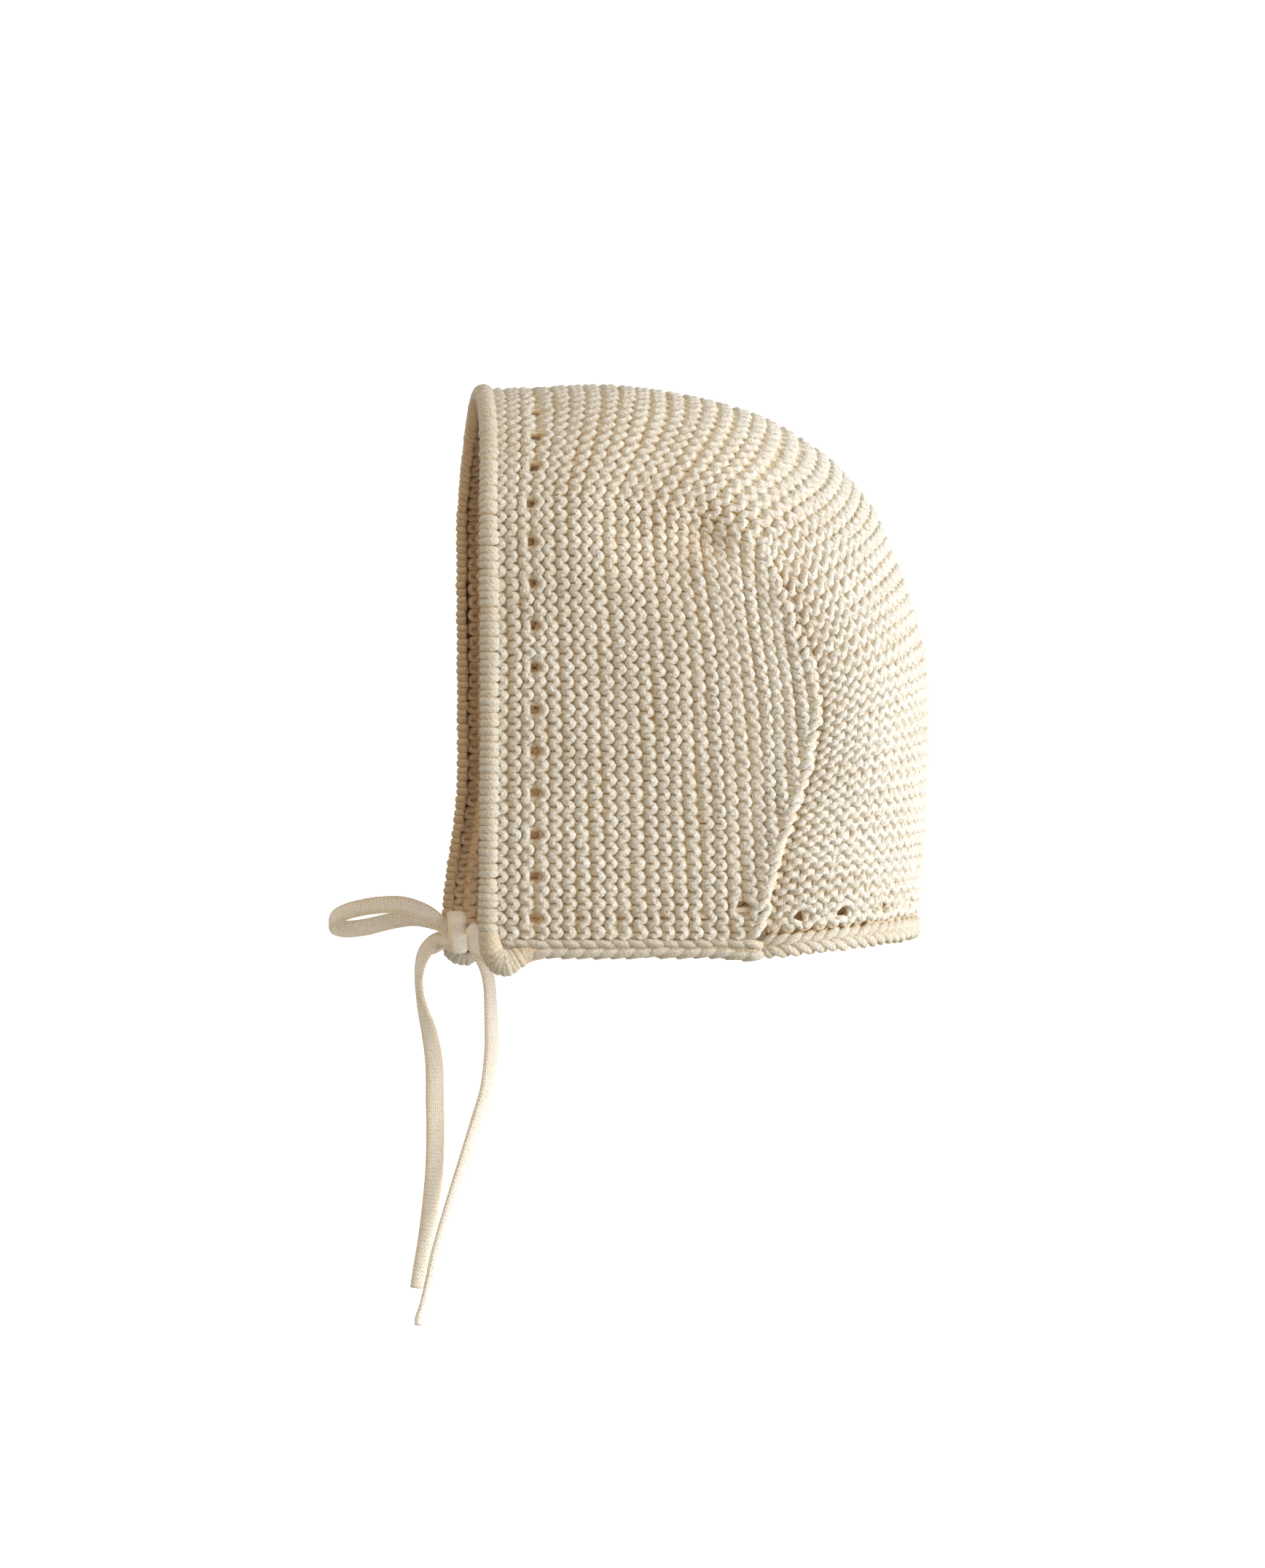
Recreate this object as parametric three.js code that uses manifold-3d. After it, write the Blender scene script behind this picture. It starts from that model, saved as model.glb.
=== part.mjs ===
// Knitted baby bonnet: a garter-stitch hood, a back panel let in between its sides, a rolled front hem,
// a bound-off neck band and two tape ties tied in a bow. Millimetres, +Z up, +X to the wearer's left,
// -Y to the face. The origin is inside the top of the crown, where a head would bear.
import * as THREE from "three";
import { mergeVertices } from "three/addons/utils/BufferGeometryUtils.js";
import Module from "manifold-3d";

const wasm = await Module();
wasm.setup();

// Driving dimensions
const WALL = 2.6; // knitted wall, between the mean outer and inner faces
const RIDGE_DEPTH = 0.45; // rise of a garter ridge over the mean face
const GAP = 0.4; // clearance between neighbouring pieces
const HOOD_FOOT_Z = -147.6; // lower edge of the garter stitch on the sides
const HOOD_RIDGES = 25; // garter ridges from the face edge to the furthest point of the seam
const CROWN_RIDGES = 21; // ridges over the top of the head
const BACK_RIDGES = 40; // ridges from the crown to the nape
const SEAM_INSET = 1.2; // how far the back panel's edge lies under the proud edge of the side
const CORNER_PULL = 4.5; // forward pull of the tie on the lower right front corner
const HEM_DEPTH = 5.4; // rolled hem, front to back
const HEM_THICKNESS = 5.6; // rolled hem, through the wall
const BAND_HEIGHT = 4.9;
const BAND_THICKNESS = 3.4;
const BAND_SET_IN = 0.6; // the band lies this far inside the wall above it
const EYELET_DIAMETER = 2.4; // across the corners of the four-cornered hole
const TIE_DIAMETER = 3.6; // round cord of the same section as the 5 mm by 2 mm tape
const KNOT = { x: 10, y: 5.8, z: 10.4 };
const KNOT_CENTRE = new THREE.Vector3(0, -37.2, -147.5);

// Places along an arch, as shares of the way from the top of the head to the foot of the side
const SPRING = 0.42; // where the crown's curve turns into the upright side
const CORNER = 1 / 3; // top of the seam
const SIDE = 0.6;

// The hood, a row for each measured garter ridge: where its arch crosses the top, the seam's corner,
// the side and the foot, the drop from the top to the springing, and the half widths there and at the foot
const HOOD_ROWS = [
  { ridge: 0, yTop: -27, zTop: 0.2, yBend: -28.4, ySide: -28.2, yFoot: -28.4, drop: 45, half: 49, foot: 44 },
  { ridge: 2, yTop: -18.5, zTop: 0.6, yBend: -22, ySide: -21.2, yFoot: -20.9, drop: 45, half: 50, foot: 45 },
  { ridge: 8, yTop: 7.5, zTop: 1.3, yBend: -2.5, ySide: -0.6, yFoot: 1.5, drop: 46, half: 52, foot: 46.5 },
  { ridge: 16, yTop: 40.5, zTop: -4.6, yBend: 24, ySide: 27.4, yFoot: 31.5, drop: 43, half: 53.5, foot: 47 },
  { ridge: 21, yTop: 60.2, zTop: -14.2, yBend: 41.4, ySide: 44.8, yFoot: 50, drop: 41, half: 52.5, foot: 45.5 },
  { ridge: 25, yTop: 71, zTop: -24, yBend: 54.5, ySide: 58.7, yFoot: 64, drop: 38, half: 50.5, foot: 43 },
];

// The garter ridge at which the seam cuts the side, by its place along the arch
const SEAM = [
  { u: CORNER, ridge: CROWN_RIDGES },
  { u: 0.4, ridge: 22.5 },
  { u: 0.48, ridge: 23.75 },
  { u: 0.58, ridge: 24.2 },
  { u: 0.67, ridge: 23.4 },
  { u: 0.76, ridge: 22 },
  { u: 0.87, ridge: 20.1 },
  { u: 1, ridge: 18.3 },
];

// The back panel's middle line from the crown down to the nape
const BACK_SPINE = [
  { ridge: 0, y: 60.2, z: -14.2 },
  { ridge: 4.4, y: 73.3, z: -26.6 },
  { ridge: 7.6, y: 79.2, z: -38.3 },
  { ridge: 11.3, y: 85.1, z: -52.3 },
  { ridge: 16.1, y: 90.2, z: -71.4 },
  { ridge: 24, y: 91, z: -97.2 },
  { ridge: 30.5, y: 90.2, z: -117.2 },
  { ridge: 40, y: 89, z: -142.6 },
];

// Soft hollows in the left side, above the seam's corner
const DENTS = [
  { ridge: 15.5, u: 0.27, ridges: 2.2, along: 0.05, depth: 1.6 },
  { ridge: 19, u: 0.31, ridges: 1.4, along: 0.04, depth: 1.4 },
];

// The hem's lower ends, which swell into rounded lobes
const HEM_ENDS = [
  { u: 1, size: 1, back: 0 },
  { u: 1.012, size: 1.3, back: 1.2 },
  { u: 1.034, size: 1.5, back: 2.4 },
  { u: 1.05, size: 1.25, back: 2.4 },
  { u: 1.059, size: 0.6, back: 2.2 },
];

// Routes of the ties, each from inside the knot or up to it
const LEFT_LEAD = [
  [44, -35.6, -153.8],
  [30, -37.4, -152.6],
  [16, -38, -150.6],
  [6.2, -37.4, -148.4],
  [2.2, -37.2, -147.8],
];
const RIGHT_LEAD = [
  [-44, -40.4, -153.8],
  [-30, -40, -152.6],
  [-16, -38.9, -150.6],
  [-6.2, -37.4, -148.4],
  [-2.2, -37.2, -147.8],
];
const LOOP = [
  [2.4, -37.6, -147],
  [3.2, -41.6, -144.4],
  [4.2, -46, -141.2],
  [5, -51.6, -139.4],
  [5, -57, -139.2],
  [4.6, -62.4, -139.8],
  [3.6, -67.2, -141],
  [1.8, -70.6, -142.8],
  [-0.6, -71.6, -145],
  [-2.6, -69.8, -146.4],
  [-3.4, -66.4, -146.4],
  [-3.8, -61.4, -145.5],
  [-3.8, -55, -144.3],
  [-3.2, -48.4, -143.6],
  [-1.9, -42, -144.9],
  [-1.6, -37.8, -146.8],
];
const LEFT_END = [
  [0.6, -37.8, -148.6],
  [0.6, -40.9, -151.4],
  [0, -44.6, -153.4],
  [-1, -46.6, -156],
  [-1.5, -47.2, -160.4],
  [-2, -46.4, -166.4],
  [-2, -44.4, -174],
  [-2, -43.2, -182.8],
  [-2, -43, -193],
  [-2, -42.9, -203],
  [-2, -43.2, -212.6],
  [-2, -44.2, -222.3],
  [-2, -45.6, -231.6],
  [-2, -47.2, -240],
  [-2, -47.9, -244.6],
];
const RIGHT_END = [
  [1.2, -36.4, -148.4],
  [1.6, -33.4, -151.4],
  [2, -30.4, -155.6],
  [2.2, -28.4, -161],
  [2.4, -27.9, -170],
  [2.4, -27.8, -178.6],
  [2.6, -29.1, -189.4],
  [2.6, -31.2, -196.4],
  [2.8, -35, -208.4],
  [3, -38.8, -220.4],
  [3, -42.9, -234],
  [3, -45.2, -243.6],
  [3, -47.2, -251],
  [3, -47.6, -254.4],
];

const CREAM = 0xe6dcc8;
const PALE_CREAM = 0xece4d4;

// Value at t of a smooth line through [t, value] knots
function smoothThrough(knots, t, flatStart = false) {
  const last = knots.length - 1;
  let i = 0;
  while (i < last - 1 && t > knots[i + 1][0]) i += 1;
  const slope = (k) => {
    if (k === 0 && flatStart) return 0;
    const a = knots[Math.max(k - 1, 0)];
    const b = knots[Math.min(k + 1, last)];
    return (b[1] - a[1]) / (b[0] - a[0]);
  };
  const width = knots[i + 1][0] - knots[i][0];
  const s = (t - knots[i][0]) / width;
  const rise = s * s * (3 - 2 * s);
  const startSlope = slope(i) * width * s * (1 - s) * (1 - s);
  const endSlope = slope(i + 1) * width * s * s * (s - 1);
  return knots[i][1] + (knots[i + 1][1] - knots[i][1]) * rise + startSlope + endSlope;
}

const column = (table, key, name, t) => smoothThrough(table.map((row) => [row[key], row[name]]), t);
const smoothStep = (t) => THREE.MathUtils.smoothstep(t, 0, 1);

// A point in the middle of the hood's wall: u runs from -1 at the right foot over the top to 1 at the left
function hoodPoint(ridge, u) {
  const row = (name) => column(HOOD_ROWS, "ridge", name, ridge);
  const v = Math.abs(u);
  const springZ = row("zTop") - row("drop");
  let x = 0;
  let z = 0;
  if (v < SPRING) {
    const angle = ((v / SPRING) * Math.PI) / 2;
    x = row("half") * Math.sin(angle);
    z = springZ + row("drop") * Math.cos(angle);
  } else {
    const t = (v - SPRING) / (1 - SPRING);
    x = row("half") + (row("foot") - row("half")) * t * t;
    z = springZ + (HOOD_FOOT_Z - springZ) * t;
  }
  const stops = [
    [0, row("yTop")],
    [CORNER, row("yBend")],
    [SIDE, row("ySide")],
    [1, row("yFoot")],
  ];
  let y = smoothThrough(stops, v, true);
  if (u < 0) y -= CORNER_PULL * smoothStep((v - 0.75) / 0.25) * smoothStep(1 - ridge / 10);
  return new THREE.Vector3(Math.sign(u) * x, y, z);
}

const seamRidge = (u) => (Math.abs(u) <= CORNER ? CROWN_RIDGES : column(SEAM, "u", "ridge", Math.abs(u)));

// Outward unit normal of a surface given by a function of two values
function normalOf(surface, a, b, step) {
  const alongA = surface(a + step.a, b).sub(surface(a - step.a, b));
  const alongB = surface(a, b + step.b).sub(surface(a, b - step.b));
  return alongB.cross(alongA).normalize();
}

const HOOD_STEP = { a: 0.05, b: 0.004 };
const hoodNormal = (ridge, u) => normalOf(hoodPoint, ridge, u, HOOD_STEP);

function dentDepth(ridge, u) {
  const one = (d) => d.depth * Math.exp(-(((ridge - d.ridge) / d.ridges) ** 2) - ((u - d.u) / d.along) ** 2);
  return DENTS.reduce((sum, dent) => sum + one(dent), 0);
}

// Stations along the hood's arch, with one on each corner of the seam
const CROWN_STATIONS = 4;
const SIDE_STATIONS = 7;
const crownStops = Array.from({ length: CROWN_STATIONS }, (_, i) => (CORNER * i) / CROWN_STATIONS);
const SIDE_SPREAD = 1.15; // draws the stations together at the seam's corner
const sideStops = Array.from(
  { length: SIDE_STATIONS + 1 },
  (_, i) => CORNER + (1 - CORNER) * (i / SIDE_STATIONS) ** SIDE_SPREAD,
);
const halfStops = [...crownStops, ...sideStops];
const HOOD_STATIONS = [...halfStops.slice(1).reverse().map((u) => -u), ...halfStops];

// A closed wall from a grid of points in its middle, each with its normal and the lift of the ridge there
function wallGeometry(grid) {
  const rows = grid.length;
  const columns = grid[0].length;
  const positions = [];
  for (const side of [1, -1]) {
    for (const knot of grid.flat()) {
      const height = (side * WALL) / 2 + knot.lift;
      positions.push(...knot.point.clone().addScaledVector(knot.normal, height).toArray());
    }
  }
  const outer = (i, j) => i * columns + j;
  const inner = (i, j) => rows * columns + i * columns + j;
  const index = [];
  const quad = (a, b, c, d) => index.push(a, b, c, a, c, d);
  for (let i = 0; i < rows - 1; i += 1) {
    for (let j = 0; j < columns - 1; j += 1) {
      quad(outer(i, j), outer(i + 1, j), outer(i + 1, j + 1), outer(i, j + 1));
      quad(inner(i, j), inner(i, j + 1), inner(i + 1, j + 1), inner(i + 1, j));
    }
  }
  const end = columns - 1;
  const foot = rows - 1;
  for (let i = 0; i < foot; i += 1) {
    quad(outer(i, 0), inner(i, 0), inner(i + 1, 0), outer(i + 1, 0));
    quad(outer(i, end), outer(i + 1, end), inner(i + 1, end), inner(i, end));
  }
  for (let j = 0; j < end; j += 1) {
    quad(outer(0, j), outer(0, j + 1), inner(0, j + 1), inner(0, j));
    quad(outer(foot, j), inner(foot, j), inner(foot, j + 1), outer(foot, j + 1));
  }
  return closedGeometry(positions, index);
}

// Vertices in one place are joined, triangles without area dropped, and faces turned outwards
function closedGeometry(positions, index) {
  const loose = new THREE.BufferGeometry();
  loose.setAttribute("position", new THREE.Float32BufferAttribute(positions, 3));
  loose.setIndex(index);
  const joined = mergeVertices(loose, 1e-3);
  const place = joined.getAttribute("position");
  const corners = [0, 1, 2].map(() => new THREE.Vector3());
  const kept = [];
  let volume = 0;
  for (let i = 0; i < joined.index.count; i += 3) {
    const tri = [0, 1, 2].map((k) => joined.index.getX(i + k));
    if (new Set(tri).size < 3) continue;
    corners.forEach((corner, k) => corner.fromBufferAttribute(place, tri[k]));
    volume += corners[0].dot(corners[1].clone().cross(corners[2]));
    kept.push(tri);
  }
  joined.setIndex((volume < 0 ? kept.map((tri) => tri.reverse()) : kept).flat());
  return joined;
}

// Solids for joining and cutting
function solidOf(geometry) {
  const bare = geometry.index ? geometry.toNonIndexed() : geometry.clone();
  bare.deleteAttribute("normal");
  bare.deleteAttribute("uv");
  const joined = mergeVertices(bare, 1e-3);
  const vertProperties = joined.getAttribute("position").array;
  const triVerts = new Uint32Array(joined.index.array);
  return new wasm.Manifold(new wasm.Mesh({ numProp: 3, vertProperties, triVerts }));
}

function geometryOf(solid) {
  const mesh = solid.getMesh();
  const geometry = new THREE.BufferGeometry();
  geometry.setAttribute("position", new THREE.Float32BufferAttribute(mesh.vertProperties, 3));
  geometry.setIndex(Array.from(mesh.triVerts));
  return geometry;
}

// Eyelets pierced through a wall, each along the wall's normal
function pierced(geometry, eyelets) {
  const up = new THREE.Vector3(0, 1, 0);
  let solid = solidOf(geometry);
  for (const { point, normal } of eyelets) {
    const punch = new THREE.CylinderGeometry(EYELET_DIAMETER / 2, EYELET_DIAMETER / 2, 4 * WALL, 4);
    punch.applyQuaternion(new THREE.Quaternion().setFromUnitVectors(up, normal));
    punch.translate(point.x, point.y, point.z);
    solid = solid.subtract(solidOf(punch));
  }
  return geometryOf(solid);
}

// Hood
const HALF_RIDGE = 0.5;
const SNAP = 0.15; // a row that ends this close to the seam, in ridges, is taken to it

function hoodKnot(row, u) {
  const limit = seamRidge(u);
  const ridge = limit - row < SNAP ? limit : row;
  const normal = hoodNormal(ridge, u);
  const point = hoodPoint(ridge, u).addScaledVector(normal, -dentDepth(ridge, u));
  return { point, normal, lift: RIDGE_DEPTH * Math.cos(2 * Math.PI * ridge) };
}

const FACE_EYELET_RIDGE = 2.35;
const FACE_EYELETS = 16; // each side of the middle of the crown
const NECK_EYELET_U = 0.981;
const SIDE_NECK_EYELETS = [5.4, 8.5, 11.6, 14.7, 17.4];

function hoodEyelets() {
  const places = [];
  for (const side of [1, -1]) {
    for (let k = 0; k < FACE_EYELETS; k += 1) places.push([FACE_EYELET_RIDGE, side * (0.05 + 0.06 * k)]);
    for (const ridge of SIDE_NECK_EYELETS) places.push([ridge, side * NECK_EYELET_U]);
  }
  return places.map(([ridge, u]) => ({ point: hoodPoint(ridge, u), normal: hoodNormal(ridge, u) }));
}

function hoodGeometry() {
  const rows = Array.from({ length: HOOD_RIDGES / HALF_RIDGE }, (_, i) => i * HALF_RIDGE);
  const grid = rows.map((row) => HOOD_STATIONS.map((u) => hoodKnot(row, u)));
  return pierced(wallGeometry(grid), hoodEyelets());
}

// Back panel
const FIRST_ROW_BLEND = 8; // ridges over which the crown's last row gives way to the panel's own arcs
const FIRST_ROW = 0.12; // ridges clear of the crown's last row
const FIRST_ROW_CORNER = 0.2; // and this much more at the seam's corner
const EDGE = 0.984; // the panel stops this short of the seam, as a share of its half width
const CORNER_EASE = 0.04; // and this much shorter at the seam's corner

// The hood's last edge over the crown and down the seam, straight between the hood's stations
function hoodEdge(u) {
  const v = Math.abs(u);
  const j = Math.max(halfStops.findIndex((stop) => stop >= v - 1e-9), 1);
  const [a, b] = [halfStops[j - 1], halfStops[j]];
  const point = hoodPoint(seamRidge(a), a).lerp(hoodPoint(seamRidge(b), b), (v - a) / (b - a));
  point.x *= u < 0 ? -1 : 1;
  return point;
}

function arc(ridge, s) {
  const edge = hoodEdge(CORNER + ((1 - CORNER) * ridge) / BACK_RIDGES);
  const turn = (s * Math.PI) / 2;
  const toSpine = (name) => column(BACK_SPINE, "ridge", name, ridge) - edge[name];
  const y = edge.y + toSpine("y") * Math.cos(turn);
  const z = edge.z + toSpine("z") * Math.cos(turn);
  return new THREE.Vector3(edge.x * Math.sin(turn), y, z);
}

function backPoint(ridge, s) {
  const bounded = THREE.MathUtils.clamp(ridge, 0, BACK_RIDGES);
  const share = 1 - smoothStep(bounded / FIRST_ROW_BLEND);
  const crownRow = hoodEdge(s * CORNER).sub(arc(0, s));
  return arc(bounded, s).addScaledVector(crownRow, share);
}

const BACK_STEP = { a: 0.05, b: 0.01 };
const backNormal = (ridge, s) => normalOf(backPoint, ridge, s, BACK_STEP);

function backKnot(ridge, s) {
  const normal = backNormal(ridge, s);
  const sunk = SEAM_INSET * Math.abs(s) ** 6 * smoothStep(ridge / 3);
  return {
    point: backPoint(ridge, s).addScaledVector(normal, -sunk),
    normal,
    lift: RIDGE_DEPTH * Math.cos(2 * Math.PI * ridge),
  };
}

const BACK_EYELET_RIDGE = 38.6;
const BACK_EYELETS = [0.1, 0.3, 0.5, 0.69, 0.85];

function backGeometry() {
  const rows = Array.from({ length: BACK_RIDGES / HALF_RIDGE + 1 }, (_, i) => i * HALF_RIDGE);
  const half = Array.from({ length: CROWN_STATIONS + 1 }, (_, i) => i / CROWN_STATIONS);
  const stops = [...half.slice(1).reverse().map((s) => -s), ...half];
  const edge = (ridge) => EDGE - CORNER_EASE * (1 - smoothStep(ridge / 4));
  const within = (ridge, s) => THREE.MathUtils.clamp(s, -edge(ridge), edge(ridge));
  const below = (ridge, s) => Math.max(ridge, FIRST_ROW + FIRST_ROW_CORNER * s ** 4);
  const grid = rows.map((ridge) => stops.map((s) => backKnot(below(ridge, s), within(ridge, s))));
  const eyelets = BACK_EYELETS.flatMap((s) => [s, -s]).map((s) => ({
    point: backPoint(BACK_EYELET_RIDGE, s),
    normal: backNormal(BACK_EYELET_RIDGE, s),
  }));
  return pierced(wallGeometry(grid), eyelets);
}

// A closed bar lofted through eight-sided sections, each with its centre, two axes and half sizes
const SECTION_SIDES = 8;

function barGeometry(sections) {
  const positions = [];
  for (const { centre, across, up, halfAcross, halfUp } of sections) {
    for (let k = 0; k < SECTION_SIDES; k += 1) {
      const angle = ((k + 0.5) / SECTION_SIDES) * 2 * Math.PI;
      const point = centre.clone().addScaledVector(across, halfAcross * Math.cos(angle));
      positions.push(...point.addScaledVector(up, halfUp * Math.sin(angle)).toArray());
    }
  }
  const index = [];
  for (let i = 0; i < sections.length - 1; i += 1) {
    for (let k = 0; k < SECTION_SIDES; k += 1) {
      const next = (k + 1) % SECTION_SIDES;
      const [a, b] = [i * SECTION_SIDES + k, i * SECTION_SIDES + next];
      index.push(a, b, b + SECTION_SIDES, a, b + SECTION_SIDES, a + SECTION_SIDES);
    }
  }
  const lastRing = (sections.length - 1) * SECTION_SIDES;
  for (let k = 1; k < SECTION_SIDES - 1; k += 1) {
    index.push(0, k + 1, k, lastRing, lastRing + k, lastRing + k + 1);
  }
  return closedGeometry(positions, index);
}

// An eight-sided section reaches this share of its half size on its flats
const FLAT = Math.cos(Math.PI / SECTION_SIDES);

// Front hem
function hemSection(u, size, back) {
  const bounded = THREE.MathUtils.clamp(u, -1, 1);
  const normal = hoodNormal(0, bounded);
  const centre = hoodPoint(0, bounded);
  centre.y -= HEM_DEPTH / 2 + GAP - back;
  centre.z += (Math.abs(bounded) - Math.abs(u)) * (hoodPoint(0, SPRING).z - HOOD_FOOT_Z) / (1 - SPRING);
  return {
    centre,
    across: new THREE.Vector3(0, 1, 0),
    up: new THREE.Vector3(normal.x, 0, normal.z).normalize(),
    halfAcross: (size * HEM_DEPTH) / 2 / FLAT,
    halfUp: (size * HEM_THICKNESS) / 2 / FLAT,
  };
}

function hemGeometry() {
  const right = [...HEM_ENDS].reverse().map((end) => hemSection(-end.u, end.size, end.back));
  const left = HEM_ENDS.map((end) => hemSection(end.u, end.size, end.back));
  const arch = HOOD_STATIONS.slice(1, -1).map((u) => hemSection(u, 1, 0));
  return barGeometry([...right, ...arch, ...left]);
}

// Neck band: the bound-off edge under a wall's foot
function bandSection(point, normal) {
  const across = new THREE.Vector3(normal.x, normal.y, 0).normalize();
  const centre = point.clone().addScaledVector(across, -BAND_SET_IN);
  centre.z -= BAND_HEIGHT / 2 + GAP;
  const up = new THREE.Vector3(0, 0, 1);
  return { centre, across, up, halfAcross: BAND_THICKNESS / 2 / FLAT, halfUp: BAND_HEIGHT / 2 / FLAT };
}

const BAND_FIRST_RIDGE = 1.7;
const BAND_STEPS = 9;

function sideBandGeometry(side) {
  const lastRidge = seamRidge(1);
  const ridges = Array.from(
    { length: BAND_STEPS + 1 },
    (_, i) => BAND_FIRST_RIDGE + ((lastRidge - BAND_FIRST_RIDGE) * i) / BAND_STEPS,
  );
  return barGeometry(ridges.map((ridge) => bandSection(hoodPoint(ridge, side), hoodNormal(ridge, side))));
}

const BACK_BAND_STEPS = 12;
const BACK_BAND_EDGE = 0.985;

function backBandGeometry() {
  const stops = Array.from(
    { length: BACK_BAND_STEPS + 1 },
    (_, i) => BACK_BAND_EDGE * ((2 * i) / BACK_BAND_STEPS - 1),
  );
  const section = (s) => bandSection(backPoint(BACK_RIDGES, s), backNormal(BACK_RIDGES - 1, s));
  return barGeometry(stops.map(section));
}

// Ties
const TIE_SIDES = 8;

function knotGeometry(room = 0) {
  const ball = new THREE.SphereGeometry(0.5, 8, 6);
  ball.scale(KNOT.x + room, KNOT.y + room, KNOT.z + room);
  return ball.translate(KNOT_CENTRE.x, KNOT_CENTRE.y, KNOT_CENTRE.z);
}

const KNOT_ROOM = solidOf(knotGeometry(2 * GAP));

function tieGeometry(route, steps) {
  const outline = Array.from({ length: TIE_SIDES }, (_, k) => {
    const angle = (k / TIE_SIDES) * 2 * Math.PI;
    return new THREE.Vector2(Math.cos(angle), Math.sin(angle)).multiplyScalar(TIE_DIAMETER / 2);
  });
  const extrudePath = new THREE.CatmullRomCurve3(route.map((point) => new THREE.Vector3(...point)));
  const settings = { steps, extrudePath, bevelEnabled: false };
  const cord = new THREE.ExtrudeGeometry(new THREE.Shape(outline), settings);
  return geometryOf(solidOf(cord).subtract(KNOT_ROOM));
}

// Assembly
const bonnet = new THREE.Group();

function add(name, geometry, color) {
  const material = new THREE.MeshStandardMaterial({ color, roughness: 0.95, metalness: 0 });
  const mesh = new THREE.Mesh(geometry, material);
  mesh.name = name;
  bonnet.add(mesh);
}

add("hood", hoodGeometry(), CREAM);
add("back_panel", backGeometry(), CREAM);
add("front_hem", hemGeometry(), CREAM);
add("neck_band_left", sideBandGeometry(1), CREAM);
add("neck_band_right", sideBandGeometry(-1), CREAM);
add("neck_band_back", backBandGeometry(), CREAM);
add("bow_knot", knotGeometry(), PALE_CREAM);
add("bow_loop", tieGeometry(LOOP, 14), PALE_CREAM);
add("tie_left_lead", tieGeometry(LEFT_LEAD, 5), PALE_CREAM);
add("tie_right_lead", tieGeometry(RIGHT_LEAD, 5), PALE_CREAM);
add("tie_left_end", tieGeometry(LEFT_END, 12), PALE_CREAM);
add("tie_right_end", tieGeometry(RIGHT_END, 12), PALE_CREAM);

export default bonnet;
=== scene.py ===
import math

import bmesh
import bpy
import numpy as np
from mathutils import Matrix, Vector


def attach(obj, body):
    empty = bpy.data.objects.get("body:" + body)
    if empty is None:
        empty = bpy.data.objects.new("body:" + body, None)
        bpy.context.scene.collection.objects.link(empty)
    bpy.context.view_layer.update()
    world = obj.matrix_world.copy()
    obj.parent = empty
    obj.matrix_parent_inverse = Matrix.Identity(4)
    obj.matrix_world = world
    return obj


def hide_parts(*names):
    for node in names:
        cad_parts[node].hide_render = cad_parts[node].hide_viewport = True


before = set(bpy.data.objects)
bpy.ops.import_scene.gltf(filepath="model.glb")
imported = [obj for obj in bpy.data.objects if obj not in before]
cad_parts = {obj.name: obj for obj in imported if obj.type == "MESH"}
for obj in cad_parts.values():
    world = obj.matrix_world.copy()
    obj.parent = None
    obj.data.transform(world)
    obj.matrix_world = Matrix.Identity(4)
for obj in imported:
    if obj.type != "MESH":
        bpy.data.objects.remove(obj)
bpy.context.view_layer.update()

# Knitted baby bonnet in cream wool. Sizes are in millimetres until a piece is made, +Z up, +X to the
# wearer's left and -Y to the face, as in the frame.
MM = 0.001
SEED = 11

# Places along an arch of the hood, as shares of the way from the top of the head to the foot of the side
SPRING = 0.42
CORNER = 1 / 3
SIDE = 0.6

# The hood's shape and the seam follow the frame; the stretch of the crown and the back's ridges do not
HOOD_FOOT_Z = -147.6
CROWN_RIDGES = 21
HOOD_RIDGES = 25
BACK_RIDGES = 34
CORNER_PULL = 4.5  # the right lower corner is drawn forward by the bow
PULL_FROM = 0.75
PULL_RIDGES = 10
HOOD_COLUMNS = ("ridge", "y_top", "z_top", "y_bend", "y_side", "y_foot", "drop", "half", "foot")
HOOD_ROWS = np.array([
    (0, -27, 0.2, -28.4, -28.2, -28.4, 45, 49, 44),
    (2, -18.5, 0.6, -22, -21.2, -20.9, 45, 50, 45),
    (8, 7.5, 1.3, -2.5, -0.6, 1.5, 46, 52, 46.5),
    (16, 40.5, -4.6, 24, 27.4, 31.5, 43, 53.5, 47),
    (21, 60.2, -14.2, 41.4, 44.8, 50, 41, 52.5, 45.5),
    (25, 71, -24, 54.5, 58.7, 64, 38, 50.5, 43),
])
HOOD = dict(zip(HOOD_COLUMNS, HOOD_ROWS.T))
# The crown's rows are stretched apart over the top, so their middles lie farther back and lower
STRETCH_RIDGE = np.array([0, 2.5, 8, 16, 21, 25])
STRETCH = np.array([0, 0, 1, 4, 5.5, 4])
STRETCH_SLOPE = np.array([0, 0, -0.05, -0.4, -0.84, -1])
STRETCH_BEND = (2.7, 1.25)  # how squarely a stretched row bends over the crown
STRETCH_EASE = 0.9
SEAM_U = np.array([CORNER, 0.4, 0.48, 0.58, 0.67, 0.76, 0.87, 1])
SEAM_RIDGE = np.array([CROWN_RIDGES, 22.5, 23.75, 24.2, 23.4, 22, 20.1, 18.3])
SEAM_INSET = 2.4  # how far the panel's edge sinks along the seam
SEAM_INSET_POWER = 12
SEAM_INSET_RIDGES = 3
SEAM_LIFT = 0.9  # how far the side's edge stands up along the seam
SEAM_LIFT_RIDGES = 2.2
SEAM_LIFT_RUN = 0.06
SPINE_RIDGE = np.array([0, 3.7, 6.5, 9.7, 13.8, 20.4, 25.9, 34])
SPINE_Y = np.array([65.7, 75.6, 80.8, 85.8, 90.3, 91, 90.2, 89])
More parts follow.
